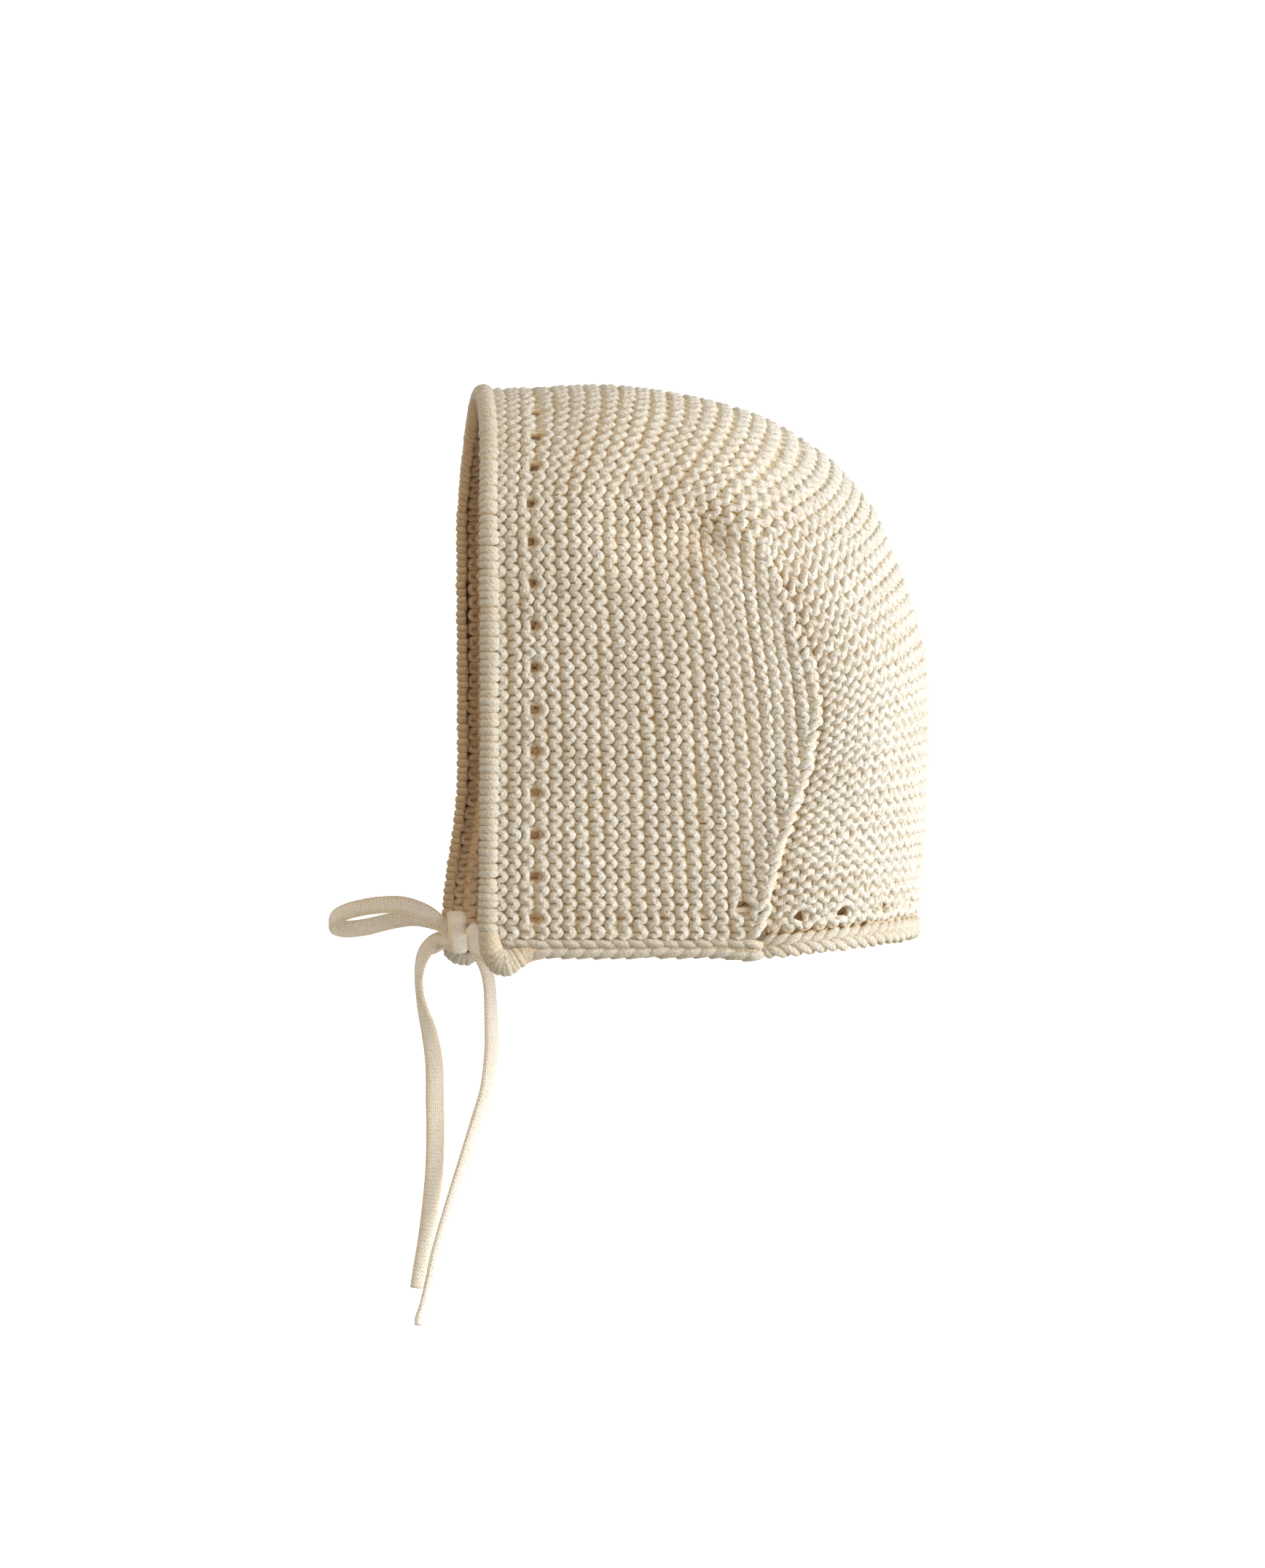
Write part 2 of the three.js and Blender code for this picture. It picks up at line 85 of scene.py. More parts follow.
SPINE_Z = np.array([-18.8, -30.6, -42, -54.5, -72.5, -97.2, -117.2, -142.6])
JOIN_RIDGES = 8  # over these ridges the panel takes on the shape of the crown
FOOT_RIDGE_MM = 3.0  # loops that reach past the panel's foot hang straight down
FOOT_MARGIN = 0.06
DENTS = (
    {"ridge": 17.0, "u": 0.366, "ridges": 2.4, "along": 0.04, "depth": 4.2},
    {"ridge": 14.0, "u": 0.41, "ridges": 3, "along": 0.06, "depth": 2.6},
    {"ridge": 17.8, "u": 0.29, "ridges": 3, "along": 0.04, "depth": -1.4},
    {"ridge": 10.5, "u": 0.38, "ridges": 3, "along": 0.06, "depth": 1.5},
)

# Painted shade and painted light in the wool's colour
SHADE = 0.08  # share of a dent's depth painted into its colour as shade; a bulge is painted lighter
SEAM_SHADE = 3  # the sunk edge beside the seam is painted with this many times as much shade
BACK_LIGHT = 0.45  # painted light: towards the back the creases are coloured as if they were this much shallower
BACK_LIGHT_FROM = 25
BACK_LIGHT_OVER = 50

# Garter stitch: each ridge has a row that stands out and a row that lies in
ROW_OFFSETS = ((-0.25, 1), (0.25, -1))
HOOD_STITCHES = 96
BACK_STITCHES = 34
LOOP_REACH = 0.5  # how far a loop reaches across its row, in ridges
LOOP_DEPTH = 0.69  # how far it stands out and in of the middle of the wall
LOOP_SWELL = 0.5  # roundness of the loop's head and foot
LOOP_STEPS = 10
LOOP_CLOSER = (0.2, 0.1)  # draws the steps together at the outer bend, and at both bends
LOOP_UNEVEN = {"along": 0.05, "across": 0.03, "depth": 0.06, "height": 0.05}
# Rows wander: reach in ridges, waves along the row, and how far the waves shift from row to row
HOOD_WANDER = ((0.07, 9, 1.7), (0.05, 23, 0.9))
BACK_WANDER = ((0.06, 7, 1.3),)
SEAM_CLEAR = 0.2
YARN_RADIUS = 1.14
YARN_SIDES = 5
BACK_EDGE = 0.975  # the panel's rows turn back this far along its half width
BACK_EDGE_RIDGES = 5
EDGE_TURN = 0.025
EDGE_TURN_STEPS = 5


# Smooth line through knots, evaluated at many places; the values may differ from place to place
def smooth_through(at, values, t, flat_start=False):
    at = np.asarray(at, float)
    values = np.asarray(values, float)
    if values.ndim == 1:
        values = values[:, None] * np.ones_like(t)[None, :]
    slopes = np.empty_like(values)
    slopes[1:-1] = (values[2:] - values[:-2]) / (at[2:] - at[:-2])[:, None]
    slopes[0] = 0 if flat_start else (values[1] - values[0]) / (at[1] - at[0])
    slopes[-1] = (values[-1] - values[-2]) / (at[-1] - at[-2])
    i = np.clip(np.searchsorted(at, t, side="left") - 1, 0, len(at) - 2)
    k = np.arange(len(t))
    width = at[i + 1] - at[i]
    s = (t - at[i]) / width
    low, high = values[i, k], values[i + 1, k]
    rise = s * s * (3 - 2 * s)
    start = slopes[i, k] * width * s * (1 - s) ** 2
    end = slopes[i + 1, k] * width * s * s * (s - 1)
    return low + (high - low) * rise + start + end


def smooth_step(t):
    t = np.clip(t, 0, 1)
    return t * t * (3 - 2 * t)


def unit(vectors):
    return vectors / np.linalg.norm(vectors, axis=1)[:, None]


# Length gone along a line at each of its points
def gone_along(points):
    return np.concatenate([[0], np.cumsum(np.linalg.norm(np.diff(points, axis=0), axis=1))])


# Middle of the hood's wall: u runs from -1 at the right foot over the top to 1 at the left foot
def hood_point(ridge, u):
    row = {name: smooth_through(HOOD["ridge"], HOOD[name], ridge) for name in HOOD_COLUMNS[1:]}
    v = np.abs(u)
    spring_z = row["z_top"] - row["drop"]
    angle = v / SPRING * math.pi / 2
    t = (v - SPRING) / (1 - SPRING)
    crown = v < SPRING
    x = np.where(crown, row["half"] * np.sin(angle), row["half"] + (row["foot"] - row["half"]) * t * t)
    z = np.where(crown, spring_z + row["drop"] * np.cos(angle), spring_z + (HOOD_FOOT_Z - spring_z) * t)
    stops = np.stack([row["y_top"], row["y_bend"], row["y_side"], row["y_foot"]])
    y = smooth_through([0, CORNER, SIDE, 1], stops, v, flat_start=True)
    low = smooth_step((v - PULL_FROM) / (1 - PULL_FROM))
    pulled = CORNER_PULL * low * smooth_step(1 - ridge / PULL_RIDGES)
    y = np.where(u < 0, y - pulled, y)
    bend = np.minimum(v / CORNER, 1)
    top = row["y_top"] + smooth_through(STRETCH_RIDGE, STRETCH, ridge)
    over = row["y_bend"] + (top - row["y_bend"]) * (1 - bend ** STRETCH_BEND[0]) ** STRETCH_BEND[1]
    shift = np.where(v < CORNER, over - y, 0)
    slope = smooth_through(STRETCH_RIDGE, STRETCH_SLOPE, ridge)
    y = y + shift
    z = z + shift * slope * (1 - STRETCH_EASE * bend * bend)
    return np.stack([np.sign(u) * x, y, z], axis=1)


def seam_ridge(u):
    v = np.abs(u)
    return np.where(v <= CORNER, CROWN_RIDGES, smooth_through(SEAM_U, SEAM_RIDGE, np.maximum(v, CORNER)))


# Middle of the back panel's wall: s runs from -1 at the right seam to 1 at the left seam
def back_arc(ridge, s):
    u = CORNER + (1 - CORNER) * ridge / BACK_RIDGES
    edge = hood_point(seam_ridge(u), u)
    turn = s * math.pi / 2
    y = edge[:, 1] + (smooth_through(SPINE_RIDGE, SPINE_Y, ridge) - edge[:, 1]) * np.cos(turn)
    z = edge[:, 2] + (smooth_through(SPINE_RIDGE, SPINE_Z, ridge) - edge[:, 2]) * np.cos(turn)
    return np.stack([edge[:, 0] * np.sin(turn), y, z], axis=1)


def back_point(ridge, s):
    bounded = np.clip(ridge, 0, BACK_RIDGES)
    share = 1 - smooth_step(bounded / JOIN_RIDGES)
    crown_row = hood_point(np.full_like(s, CROWN_RIDGES), s * CORNER) - back_arc(np.zeros_like(s), s)
    return back_arc(bounded, s) + crown_row * share[:, None]


# Outward normal, from small steps both ways along the wall
HOOD_STEPS = (0.05, 0.004)
BACK_STEPS = (0.05, 0.01)


def surface_normal(surface, a, b, steps):
    step_a, step_b = steps
    along_a = surface(a + step_a, b) - surface(a - step_a, b)
    along_b = surface(a, b + step_b) - surface(a, b - step_b)
    return unit(np.cross(along_b, along_a))


# Middle of the wall, dents and sunk edges included, its outward normal and how deep it is sunk, which sets
# the painted shade.
# Over the crown the hood runs on into the back panel, so rows that reach past the join lie on the other
# piece's wall.
def hood_wall(ridge, u):
    middle, normal, sunk = hood_side_wall(ridge, u)
    past = (ridge > CROWN_RIDGES) & (np.abs(u) < CORNER)
    if past.any():
        laid = back_panel_wall(ridge[past] - CROWN_RIDGES, u[past] / CORNER)
        middle[past], normal[past], sunk[past] = laid
    return middle, normal, sunk


def back_wall(ridge, s):
    middle, normal, sunk = back_panel_wall(ridge, s)
    before = ridge < 0
    if before.any():
        laid = hood_side_wall(CROWN_RIDGES + ridge[before], s[before] * CORNER)
        middle[before], normal[before], sunk[before] = laid
    return middle, normal, sunk


def hood_side_wall(ridge, u):
    dent = np.zeros_like(u)
    for hollow in DENTS:
        rows_off = (ridge - hollow["ridge"]) / hollow["ridges"]
        along_off = (u - hollow["u"]) / hollow["along"]
        dent += hollow["depth"] * np.exp(-rows_off ** 2 - along_off ** 2)
    beside = smooth_step(1 - (seam_ridge(u) - ridge) / SEAM_LIFT_RIDGES)
    lift = SEAM_LIFT * beside * smooth_step((np.abs(u) - CORNER) / SEAM_LIFT_RUN)
    normal = surface_normal(hood_point, ridge, u, HOOD_STEPS)
    return hood_point(ridge, u) + normal * (lift - dent)[:, None], normal, dent


def back_panel_wall(ridge, s):
    sunk = SEAM_INSET * np.abs(s) ** SEAM_INSET_POWER * smooth_step(ridge / SEAM_INSET_RIDGES)
    inside = np.clip(ridge, FOOT_MARGIN, BACK_RIDGES - FOOT_MARGIN)
    normal = surface_normal(back_point, inside, s, BACK_STEPS)
    below = np.stack([0 * s, 0 * s, -(np.maximum(ridge - BACK_RIDGES, 0)) * FOOT_RIDGE_MM], axis=1)
    # SEAM_SHADE makes the painted shade of the sunk edge deeper than its sinking
    return back_point(ridge, s) + below - normal * sunk[:, None], normal, SEAM_SHADE * sunk


# Eyelets: the yarn is pushed clear of each hole
ARCH_MM = 176  # half of an arch, from the top to the foot
RIDGE_MM = 3.5
EYELET_PUSH = 1.6
EYELET_SPREAD = 2.2
FACE_EYELET_RIDGE = 2.5
FACE_EYELETS = range(1, 48, 3)  # every third stitch
# Ridge, place along the arch, and size
SIDE_NECK_EYELETS = (
    (5.5, 0.97, 0.4),
    (8.5, 0.97, 0.4),
    (11.5, 0.968, 0.4),
    (14.5, 0.965, 0.6),
    (17.5, 0.951, 1.3),
)
BACK_EYELET_RIDGE = 32.5
BACK_EYELETS = (0.1, 0.3, 0.5, 0.69, 0.85)
BACK_HALF_MM = 58


def hood_eyelets():
    stitch = 2 / HOOD_STITCHES
    places = []
    for side in (1, -1):
        places += [(FACE_EYELET_RIDGE, side * (k + 0.5) * stitch, 1) for k in FACE_EYELETS]
        places += [(ridge, side * u, size) for ridge, u, size in SIDE_NECK_EYELETS]
    return places


def pushed_clear(ridge, across, eyelets, across_mm):
    ridge = ridge.copy()
    across = across.copy()
    for hole_ridge, hole_across, size in eyelets:
        up = (ridge - hole_ridge) * RIDGE_MM
        along = (across - hole_across) * across_mm
        reach = np.hypot(up, along) + 1e-6
        push = size * EYELET_PUSH * np.exp(-((reach / EYELET_SPREAD) ** 2)) / reach
        ridge += up * push / RIDGE_MM
        across += along * push / across_mm
    return ridge, across


# One row of garter loops: places along the row in stitches, across it in ridges, and height in millimetres
def garter_row(first, last, outward, rng):
    count = (last - first) * LOOP_STEPS + 1
    turn = np.linspace(first, last, count) * 2 * math.pi - math.pi
    turn -= LOOP_CLOSER[0] * outward * np.sin(turn) + LOOP_CLOSER[1] * np.sin(2 * turn)
    halves = np.arange(2 * (first - 1), 2 * (last + 1) + 1) * math.pi - math.pi
    jitter = [np.interp(turn, halves, rng.normal(0, 1, len(halves))) for _ in range(3)]
    along = (turn + LOOP_SWELL * np.sin(2 * turn)) / (2 * math.pi) + 0.5 + LOOP_UNEVEN["along"] * jitter[0]
    across = (LOOP_REACH + LOOP_UNEVEN["across"] * jitter[1]) * np.cos(turn)
    depth = LOOP_DEPTH * outward + LOOP_UNEVEN["depth"] * jitter[2]
    height = depth * np.cos(turn) + LOOP_UNEVEN["height"] * jitter[2]
    return along, across, height


def row_wander(waves, across, ridge):
    return sum(reach * np.sin(count * across + shift * ridge) for reach, count, shift in waves)


# Runs of True in a list of flags, as first and past-the-last places
def runs(flags):
    padded = np.concatenate([[False], flags, [False]]).astype(int)
    edges = np.flatnonzero(np.diff(padded))
    return list(zip(edges[::2], edges[1::2]))


# Strands: each has its line, and the place and direction from which its height is measured. That place is
# moved to paint shade in dents and beside the seam, and light towards the back.
def laid_on(wall, rows):
    breaks = np.cumsum([len(row[0]) for row in rows])[:-1]
    ridge, across, height = (np.concatenate(part) for part in zip(*rows))
    middle, normal, sunk = wall(ridge, across)
    line = middle + normal * height[:, None]
    # painted light towards the back, painted shade in dents and beside the seam
    light = BACK_LIGHT * smooth_step((middle[:, 1] - BACK_LIGHT_FROM) / BACK_LIGHT_OVER)
    middle = middle + normal * (SHADE * sunk - light)[:, None]
    return list(zip(*(np.split(part, breaks) for part in (line, middle, normal))))


def hood_strands(first, last, rng):
    eyelets = hood_eyelets()
    stitches = np.arange(first, last)
    centre_u = 2 * (stitches + 0.5) / HOOD_STITCHES - 1
    limit = seam_ridge(centre_u) - SEAM_CLEAR
    rows = []
    for ridge in range(HOOD_RIDGES):
        for offset, outward in ROW_OFFSETS:
            for start, end in runs(ridge + offset <= limit):
                along, across, height = garter_row(first + start, first + end, outward, rng)
                u = 2 * along / HOOD_STITCHES - 1
                wander = row_wander(HOOD_WANDER, u, ridge)
                place, u = pushed_clear(ridge + offset + across + wander, u, eyelets, ARCH_MM)
                rows.append((place, u, height))
    return laid_on(hood_wall, rows)


# The back panel's yarn runs to and fro, turning at each edge
def back_strands(first_ridge, last_ridge, rng):
    eyelets = [(BACK_EYELET_RIDGE, side * s, 1) for s in BACK_EYELETS for side in (1, -1)]
    rows = []
    for ridge in range(first_ridge, last_ridge):
        for offset, outward in ROW_OFFSETS:
            if ridge + offset < 0:
                continue
            along, across, height = garter_row(0, BACK_STITCHES, outward, rng)
            drawn_in = (1 - BACK_EDGE) * smooth_step(np.array((ridge - 1) / BACK_EDGE_RIDGES))
            s = (2 * along / BACK_STITCHES - 1) * (1 - drawn_in)
            wander = row_wander(BACK_WANDER, s, ridge)
            place, s = pushed_clear(ridge + offset + across + wander, s, eyelets, BACK_HALF_MM)
            row = (place, s, height)
            if outward < 0:
                row = tuple(part[::-1] for part in row)
            if rows:
                rows.append(edge_turn(rows[-1], row))
            rows.append(row)
    whole = tuple(np.concatenate(part) for part in zip(*rows))
    return laid_on(back_wall, [whole])


def edge_turn(row, following):
    t = np.linspace(0, 1, EDGE_TURN_STEPS + 2)[1:-1]
    ease = (1 - np.cos(math.pi * t)) / 2
    place, s, height = (row[k][-1] + (following[k][0] - row[k][-1]) * ease for k in range(3))
    return place, s + np.sign(s) * EDGE_TURN * np.sin(math.pi * t), height


# Front hem: a roll of strands that wrap round it
HEM_DEPTH = 5.4
HEM_GAP = 0.4
HEM_PITCH = 2.0
HEM_PAIR = 0.08  # each pair of strands leans together by this much
HEM_REACH = 1.5  # from the roll's middle to the middle of its strands
HEM_YARN_RADIUS = 1.35
HEM_SIDES = 8
HEM_WRAP = (-1.6, 3.3)  # from the valley beside the first ridge, round the face side, to the inside
HEM_WRAP_POINTS = 13
HEM_INNER_SHADE = 2.2  # painted shade: its inner half is coloured as if it lay this much deeper
HEM_INNER_SHADE_FROM = 0.1
HEM_LEAN_TURN = 0.4
HEM_UNEVEN = {"ends": 0.08, "reach": 0.06, "lean": 0.08}
HEM_END = 1.004
HEM_SAMPLES = 900

# At each lower corner the roll turns and runs out under the neck edge. A row gives a place on its middle,
# back and up from the end of the front roll, and the reach of the rings there.
NEAR_CORNER = np.array([
    (0.2, 1, 1.5),
    (0.9, -3, 1.9),
    (2.4, -5.4, 2.3),
    (4.3, -6.4, 2.4),
    (6.8, -5.4, 2.0),
    (9.8, -4, 1.4),
    (13.5, -3.4, 0.9),
])
FAR_CORNER = np.array([
    (0.2, 1, 1.5),
    (0.6, -2.6, 2.1),
    (1.8, -4.6, 2.8),
    (3.6, -5.6, 3.0),
    (6.2, -5, 2.5),
    (9.4, -4, 1.6),
    (13, -3.4, 1.0),
])
CORNER_PITCH = 0.8
CORNER_SAMPLES = 300
CORNER_RING_POINTS = 17
CORNER_RING_OPEN = 0.15
CORNER_UNEVEN = {"tilt": 0.3, "place": 0.1, "reach": 0.05}


# Middle of the front roll, and the way out from the head
def hem_line(u):
    bounded = np.clip(u, -1, 1)
    centre = hood_point(np.zeros_like(u), bounded)
    spring = hood_point(np.zeros(1), np.array([SPRING]))[0, 2]
    centre[:, 1] -= HEM_DEPTH / 2 + HEM_GAP
    centre[:, 2] -= (np.abs(u) - np.abs(bounded)) * (spring - HOOD_FOOT_Z) / (1 - SPRING)
    normal = surface_normal(hood_point, np.zeros_like(u), bounded, HOOD_STEPS) * np.array([1, 0, 1])
    return centre, unit(normal)


# Where to cut a line into even steps, counted in its points
def evenly_along(points, pitch):
    gone = gone_along(points)
    count = int(gone[-1] / pitch)
    return np.interp(np.linspace(0, gone[-1], count + 1), gone, np.arange(len(points)))


def hem_strands(rng):
    u = np.linspace(-HEM_END, HEM_END, HEM_SAMPLES)
    places = evenly_along(hem_line(u)[0], HEM_PITCH)
    u = np.interp(places, np.arange(HEM_SAMPLES), u)
    centre, normal = hem_line(u)
    ahead = unit(np.gradient(centre, axis=0))
    face = np.array([0, -1, 0])
    strands = []
    for k in range(len(u)):
        jitter = rng.normal(0, 1, 4)
        first = HEM_WRAP[0] + HEM_UNEVEN["ends"] * jitter[0]
        last = HEM_WRAP[1] + HEM_UNEVEN["ends"] * jitter[1]
        turn = np.linspace(first, last, HEM_WRAP_POINTS)
        out = np.cos(turn)[:, None] * normal[k] + np.sin(turn)[:, None] * face
        reach = HEM_REACH * (1 + HEM_UNEVEN["reach"] * jitter[2])
        # painted shade on the roll's inner half
        inside = HEM_INNER_SHADE * smooth_step(-np.cos(turn) + HEM_INNER_SHADE_FROM)
        pair = HEM_PAIR if k % 2 else -HEM_PAIR
        lean = pair - 2 * pair * np.sin(turn - HEM_LEAN_TURN) + HEM_UNEVEN["lean"] * jitter[3]
        line = centre[k] + reach * out + lean[:, None] * ahead[k]
        strands.append((line, centre[k] + inside[:, None] * out, out))
    return strands


# Rings along the roll as it turns the corner
def corner_strands(side, route, rng):
    base = hem_line(np.array([float(side)]))[0][0]
    at = np.arange(len(route))
    t = np.linspace(0, len(route) - 1, CORNER_SAMPLES)
    middle = np.stack([smooth_through(at, column, t) for column in route[:, :2].T], axis=1)
    t = np.interp(evenly_along(middle, CORNER_PITCH), np.arange(CORNER_SAMPLES), t)
    y, z, reach = (smooth_through(at, column, t) for column in route.T)
    centre = base + np.stack([0 * y, y, z], axis=1)
    ahead = unit(np.gradient(centre, axis=0))
    outward = np.array([side, 0, 0])
    turn = np.linspace(CORNER_RING_OPEN, 2 * math.pi - CORNER_RING_OPEN, CORNER_RING_POINTS) + math.pi
    strands = []
    for k in range(len(t)):
        jitter = rng.normal(0, 1, 3)
        below = np.cross(ahead[k], outward)
        out = np.cos(turn)[:, None] * outward + np.sin(turn)[:, None] * below
        lean = CORNER_UNEVEN["tilt"] * np.sin(turn + jitter[0]) + CORNER_UNEVEN["place"] * jitter[1]
        size = reach[k] * (1 + CORNER_UNEVEN["reach"] * jitter[2])
        ring = centre[k] + size * out + lean[:, None] * ahead[k]
        strands.append((ring, np.broadcast_to(centre[k], ring.shape), out))
    return strands


# Bound-off neck edge: lines of overlapping slanted stitches, outside and inside
BAND_GAP = 0.4
BAND_SET_IN = 0.6
BAND_LINES = (
    {"below": 0.8, "side": 1, "lift": 1, "slant": 0.25},
    {"below": 3.4, "side": 1, "lift": 1, "slant": -0.3},
    {"below": 2.1, "side": 1, "lift": 0, "slant": 0},
    {"below": 0.8, "side": -1, "lift": 1, "slant": 0.3},
    {"below": 3.0, "side": -1, "lift": 1, "slant": -0.3},
)
BAND_YARN_RADIUS = 1.25
BAND_SIDES = 7
SIDE_CHAIN = {"pitch": 4.4, "reach": 3.4, "slant": 0.9, "dip": 2.4, "tail": 1}
BACK_CHAIN = {"pitch": 3.6, "reach": 2.7, "slant": 1.9, "dip": 0, "tail": 0}
BAND_STARTS = (0.2, 0.25)  # where the first line starts, and each next one after it, in stitches
BAND_POINTS = 11
BAND_RISE = 1.3  # a stitch rises over the next one in the middle
BAND_ROUND = 0.7
BAND_SINK = 0.35
# the band's height for its painted shade is measured from this far below its line
BAND_BELOW = 0.4
BAND_UNEVEN = {"reach": 0.06, "drop": 0.12, "height": 0.08}
BAND_FIRST_RIDGE = 0.1
BAND_PAST_SEAM = 0.3
BAND_BACK_END = 0.985
SIDE_BAND_SAMPLES = 60
BACK_BAND_SAMPLES = 90
BAND_DIP_LENGTH = 11  # over this length the lower lines drop at the front corner, and at the seam


def band_strands(middle, normal, chain, rng):
    across = unit(normal * np.array([1, 1, 0]))
    centre = middle - across * BAND_SET_IN
    gone = gone_along(centre)
    t = np.linspace(-1, 1, BAND_POINTS)
    strands = []
    for number, line in enumerate(BAND_LINES):
        start = chain["pitch"] * (BAND_STARTS[0] + BAND_STARTS[1] * number)
        for at in np.arange(start, gone[-1], chain["pitch"]):
            jitter = rng.normal(0, 1, 3)
            reach = chain["reach"] * (1 + BAND_UNEVEN["reach"] * jitter[0])
            s = np.linspace(max(at - reach, 0), min(at + reach, gone[-1]), len(t))
            place = np.stack([np.interp(s, gone, centre[:, k]) for k in range(3)], axis=1)
            out = np.stack([np.interp(s, gone, across[:, k]) for k in range(3)], axis=1) * line["side"]
            slant = chain["slant"] * line["slant"] * 2 * t
            drop = BAND_GAP + line["below"] + slant + BAND_UNEVEN["drop"] * jitter[1]
            if line["below"] > 1:
                drop += chain["dip"] * smooth_step(1 - s / BAND_DIP_LENGTH)
                drop += chain["tail"] * smooth_step(1 - (gone[-1] - s) / BAND_DIP_LENGTH)
            rise = BAND_RISE * np.cos(t * math.pi / 2) ** BAND_ROUND
            height = rise - BAND_SINK + BAND_UNEVEN["height"] * jitter[2]
            place = place - np.outer(drop, (0, 0, 1))
            strands.append((place + out * height[:, None] * line["lift"], place - BAND_BELOW * out, out))
    return strands


def side_band_strands(side, rng):
    ridge = np.linspace(BAND_FIRST_RIDGE, SEAM_RIDGE[-1] + BAND_PAST_SEAM, SIDE_BAND_SAMPLES)
    middle, normal, _ = hood_wall(ridge, np.full_like(ridge, side))
    return band_strands(middle, normal, SIDE_CHAIN, rng)


def back_band_strands(rng):
    s = np.linspace(-BAND_BACK_END, BAND_BACK_END, BACK_BAND_SAMPLES)
    middle = back_wall(np.full_like(s, BACK_RIDGES), s)[0]
    normal = back_wall(np.full_like(s, BACK_RIDGES - 1), s)[1]
    return band_strands(middle, normal, BACK_CHAIN, rng)


# The side's edge along the seam: a line of stitches lying over the ends of its rows
SEAM_EDGE_START = CORNER - 0.01
SEAM_EDGE_SAMPLES = 200
SEAM_EDGE_CLEAR = 0.12
SEAM_EDGE_HEIGHT = 1
SEAM_EDGE_REACH = 1.9
SEAM_EDGE_PITCH = 3.3
SEAM_EDGE_POINTS = 9
SEAM_EDGE_INSET = 0.15  # from the seam to the middle of a stitch, in ridges
SEAM_EDGE_LEAN = 0.4
SEAM_EDGE_RISE = 1.6
SEAM_EDGE_ROUND = 0.8
# the edge's height for its painted shade is measured from this far below its line
SEAM_EDGE_BELOW = 0.5
SEAM_EDGE_UNEVEN = {"inset": 0.08, "height": 0.12}


def seam_edge_strands(side, rng):
    u = np.linspace(SEAM_EDGE_START, 1, SEAM_EDGE_SAMPLES)
    ridge = seam_ridge(u) - SEAM_EDGE_CLEAR
    middle = hood_wall(ridge, side * u)[0]
    gone = gone_along(middle)
    t = np.linspace(-1, 1, SEAM_EDGE_POINTS)
    rise = SEAM_EDGE_RISE * np.cos(t * math.pi / 2) ** SEAM_EDGE_ROUND - SEAM_EDGE_RISE
    strands = []
    for at in np.arange(1, gone[-1], SEAM_EDGE_PITCH):
        jitter = rng.normal(0, 1, 3)
        s = np.linspace(max(at - SEAM_EDGE_REACH, 0), min(at + SEAM_EDGE_REACH, gone[-1]), len(t))
        here = np.interp(s, gone, u)
        inset = SEAM_EDGE_INSET + SEAM_EDGE_LEAN * t + SEAM_EDGE_UNEVEN["inset"] * jitter[0]
        place, out, _ = hood_wall(seam_ridge(here) - inset, side * here)
        height = rise + SEAM_EDGE_HEIGHT + SEAM_EDGE_UNEVEN["height"] * jitter[1]
        strands.append((place + out * height[:, None], place - SEAM_EDGE_BELOW * out, out))
    return strands


# Yarn: a round strand along each line, with its length, turn and height kept for its colour and twist
def yarn_section(radius, sides):
    section = bpy.data.curves.new("yarn_section", "CURVE")
    section.dimensions = "2D"
    ring = section.splines.new("POLY")
    ring.points.add(sides - 1)
    for k, point in enumerate(ring.points):
        angle = 2 * math.pi * k / sides
        point.co = (radius * MM * math.cos(angle), radius * MM * math.sin(angle), 0, 1)
    ring.use_cyclic_u = True
    holder = bpy.data.objects.new("yarn_section", section)
    bpy.context.collection.objects.link(holder)
    return holder


def yarn_piece(name, strands, material, heights, radius=YARN_RADIUS, sides=YARN_SIDES):
    section = yarn_section(radius, sides)
    lines = bpy.data.curves.new(name, "CURVE")
    lines.dimensions = "3D"
    lines.bevel_mode = "OBJECT"
    lines.bevel_object = section
    for strand, _, _ in strands:
        line = lines.splines.new("POLY")
        line.points.add(len(strand) - 1)
        line.points.foreach_set("co", np.column_stack([strand * MM, np.ones(len(strand))]).ravel())
    holder = bpy.data.objects.new(name + "_lines", lines)
    bpy.context.collection.objects.link(holder)
    graph = bpy.context.evaluated_depsgraph_get()
    mesh = bpy.data.meshes.new_from_object(holder.evaluated_get(graph))
    mesh.name = name
    for old, data in ((holder, lines), (section, section.data)):
        bpy.data.objects.remove(old)
        bpy.data.curves.remove(data)
    mark_yarn(mesh, strands, heights, sides)
    close_ends(mesh, sides)
    mesh.shade_smooth()
    mesh.materials.clear()
    mesh.materials.append(material)
    piece = bpy.data.objects.new(name, mesh)
    bpy.context.collection.objects.link(piece)
    return piece


def close_ends(mesh, sides):
    shape = bmesh.new()
    shape.from_mesh(mesh)
    bmesh.ops.holes_fill(shape, edges=[edge for edge in shape.edges if edge.is_boundary], sides=sides)
    shape.to_mesh(mesh)
    shape.free()


# "along" and "around" follow the yarn; "proud" is 0 inside the bonnet and 1 at the top of an outer stitch,
# and sets the painted shade in the wool's colour
def mark_yarn(mesh, strands, heights, sides):
    lines, middles, normals = (np.concatenate(part) for part in zip(*strands))
    along = np.repeat(np.concatenate([gone_along(strand[0]) for strand in strands]), sides)
    around = np.tile(np.arange(sides) / sides, len(lines))
    places = np.empty(len(mesh.vertices) * 3, np.float32)
    mesh.vertices.foreach_get("co", places)
    places = places.reshape(-1, 3) / MM
    middles, normals = (np.repeat(part, sides, axis=0) for part in (middles, normals))
    height = np.einsum("ij,ij->i", places - middles, normals)
    proud = np.interp(height, heights, (0, 0.2, 1))
    for name, values in (("along", along), ("around", around), ("proud", proud)):
        layer = mesh.attributes.new(name, "FLOAT", "POINT")
        layer.data.foreach_set("value", values.astype(np.float32))


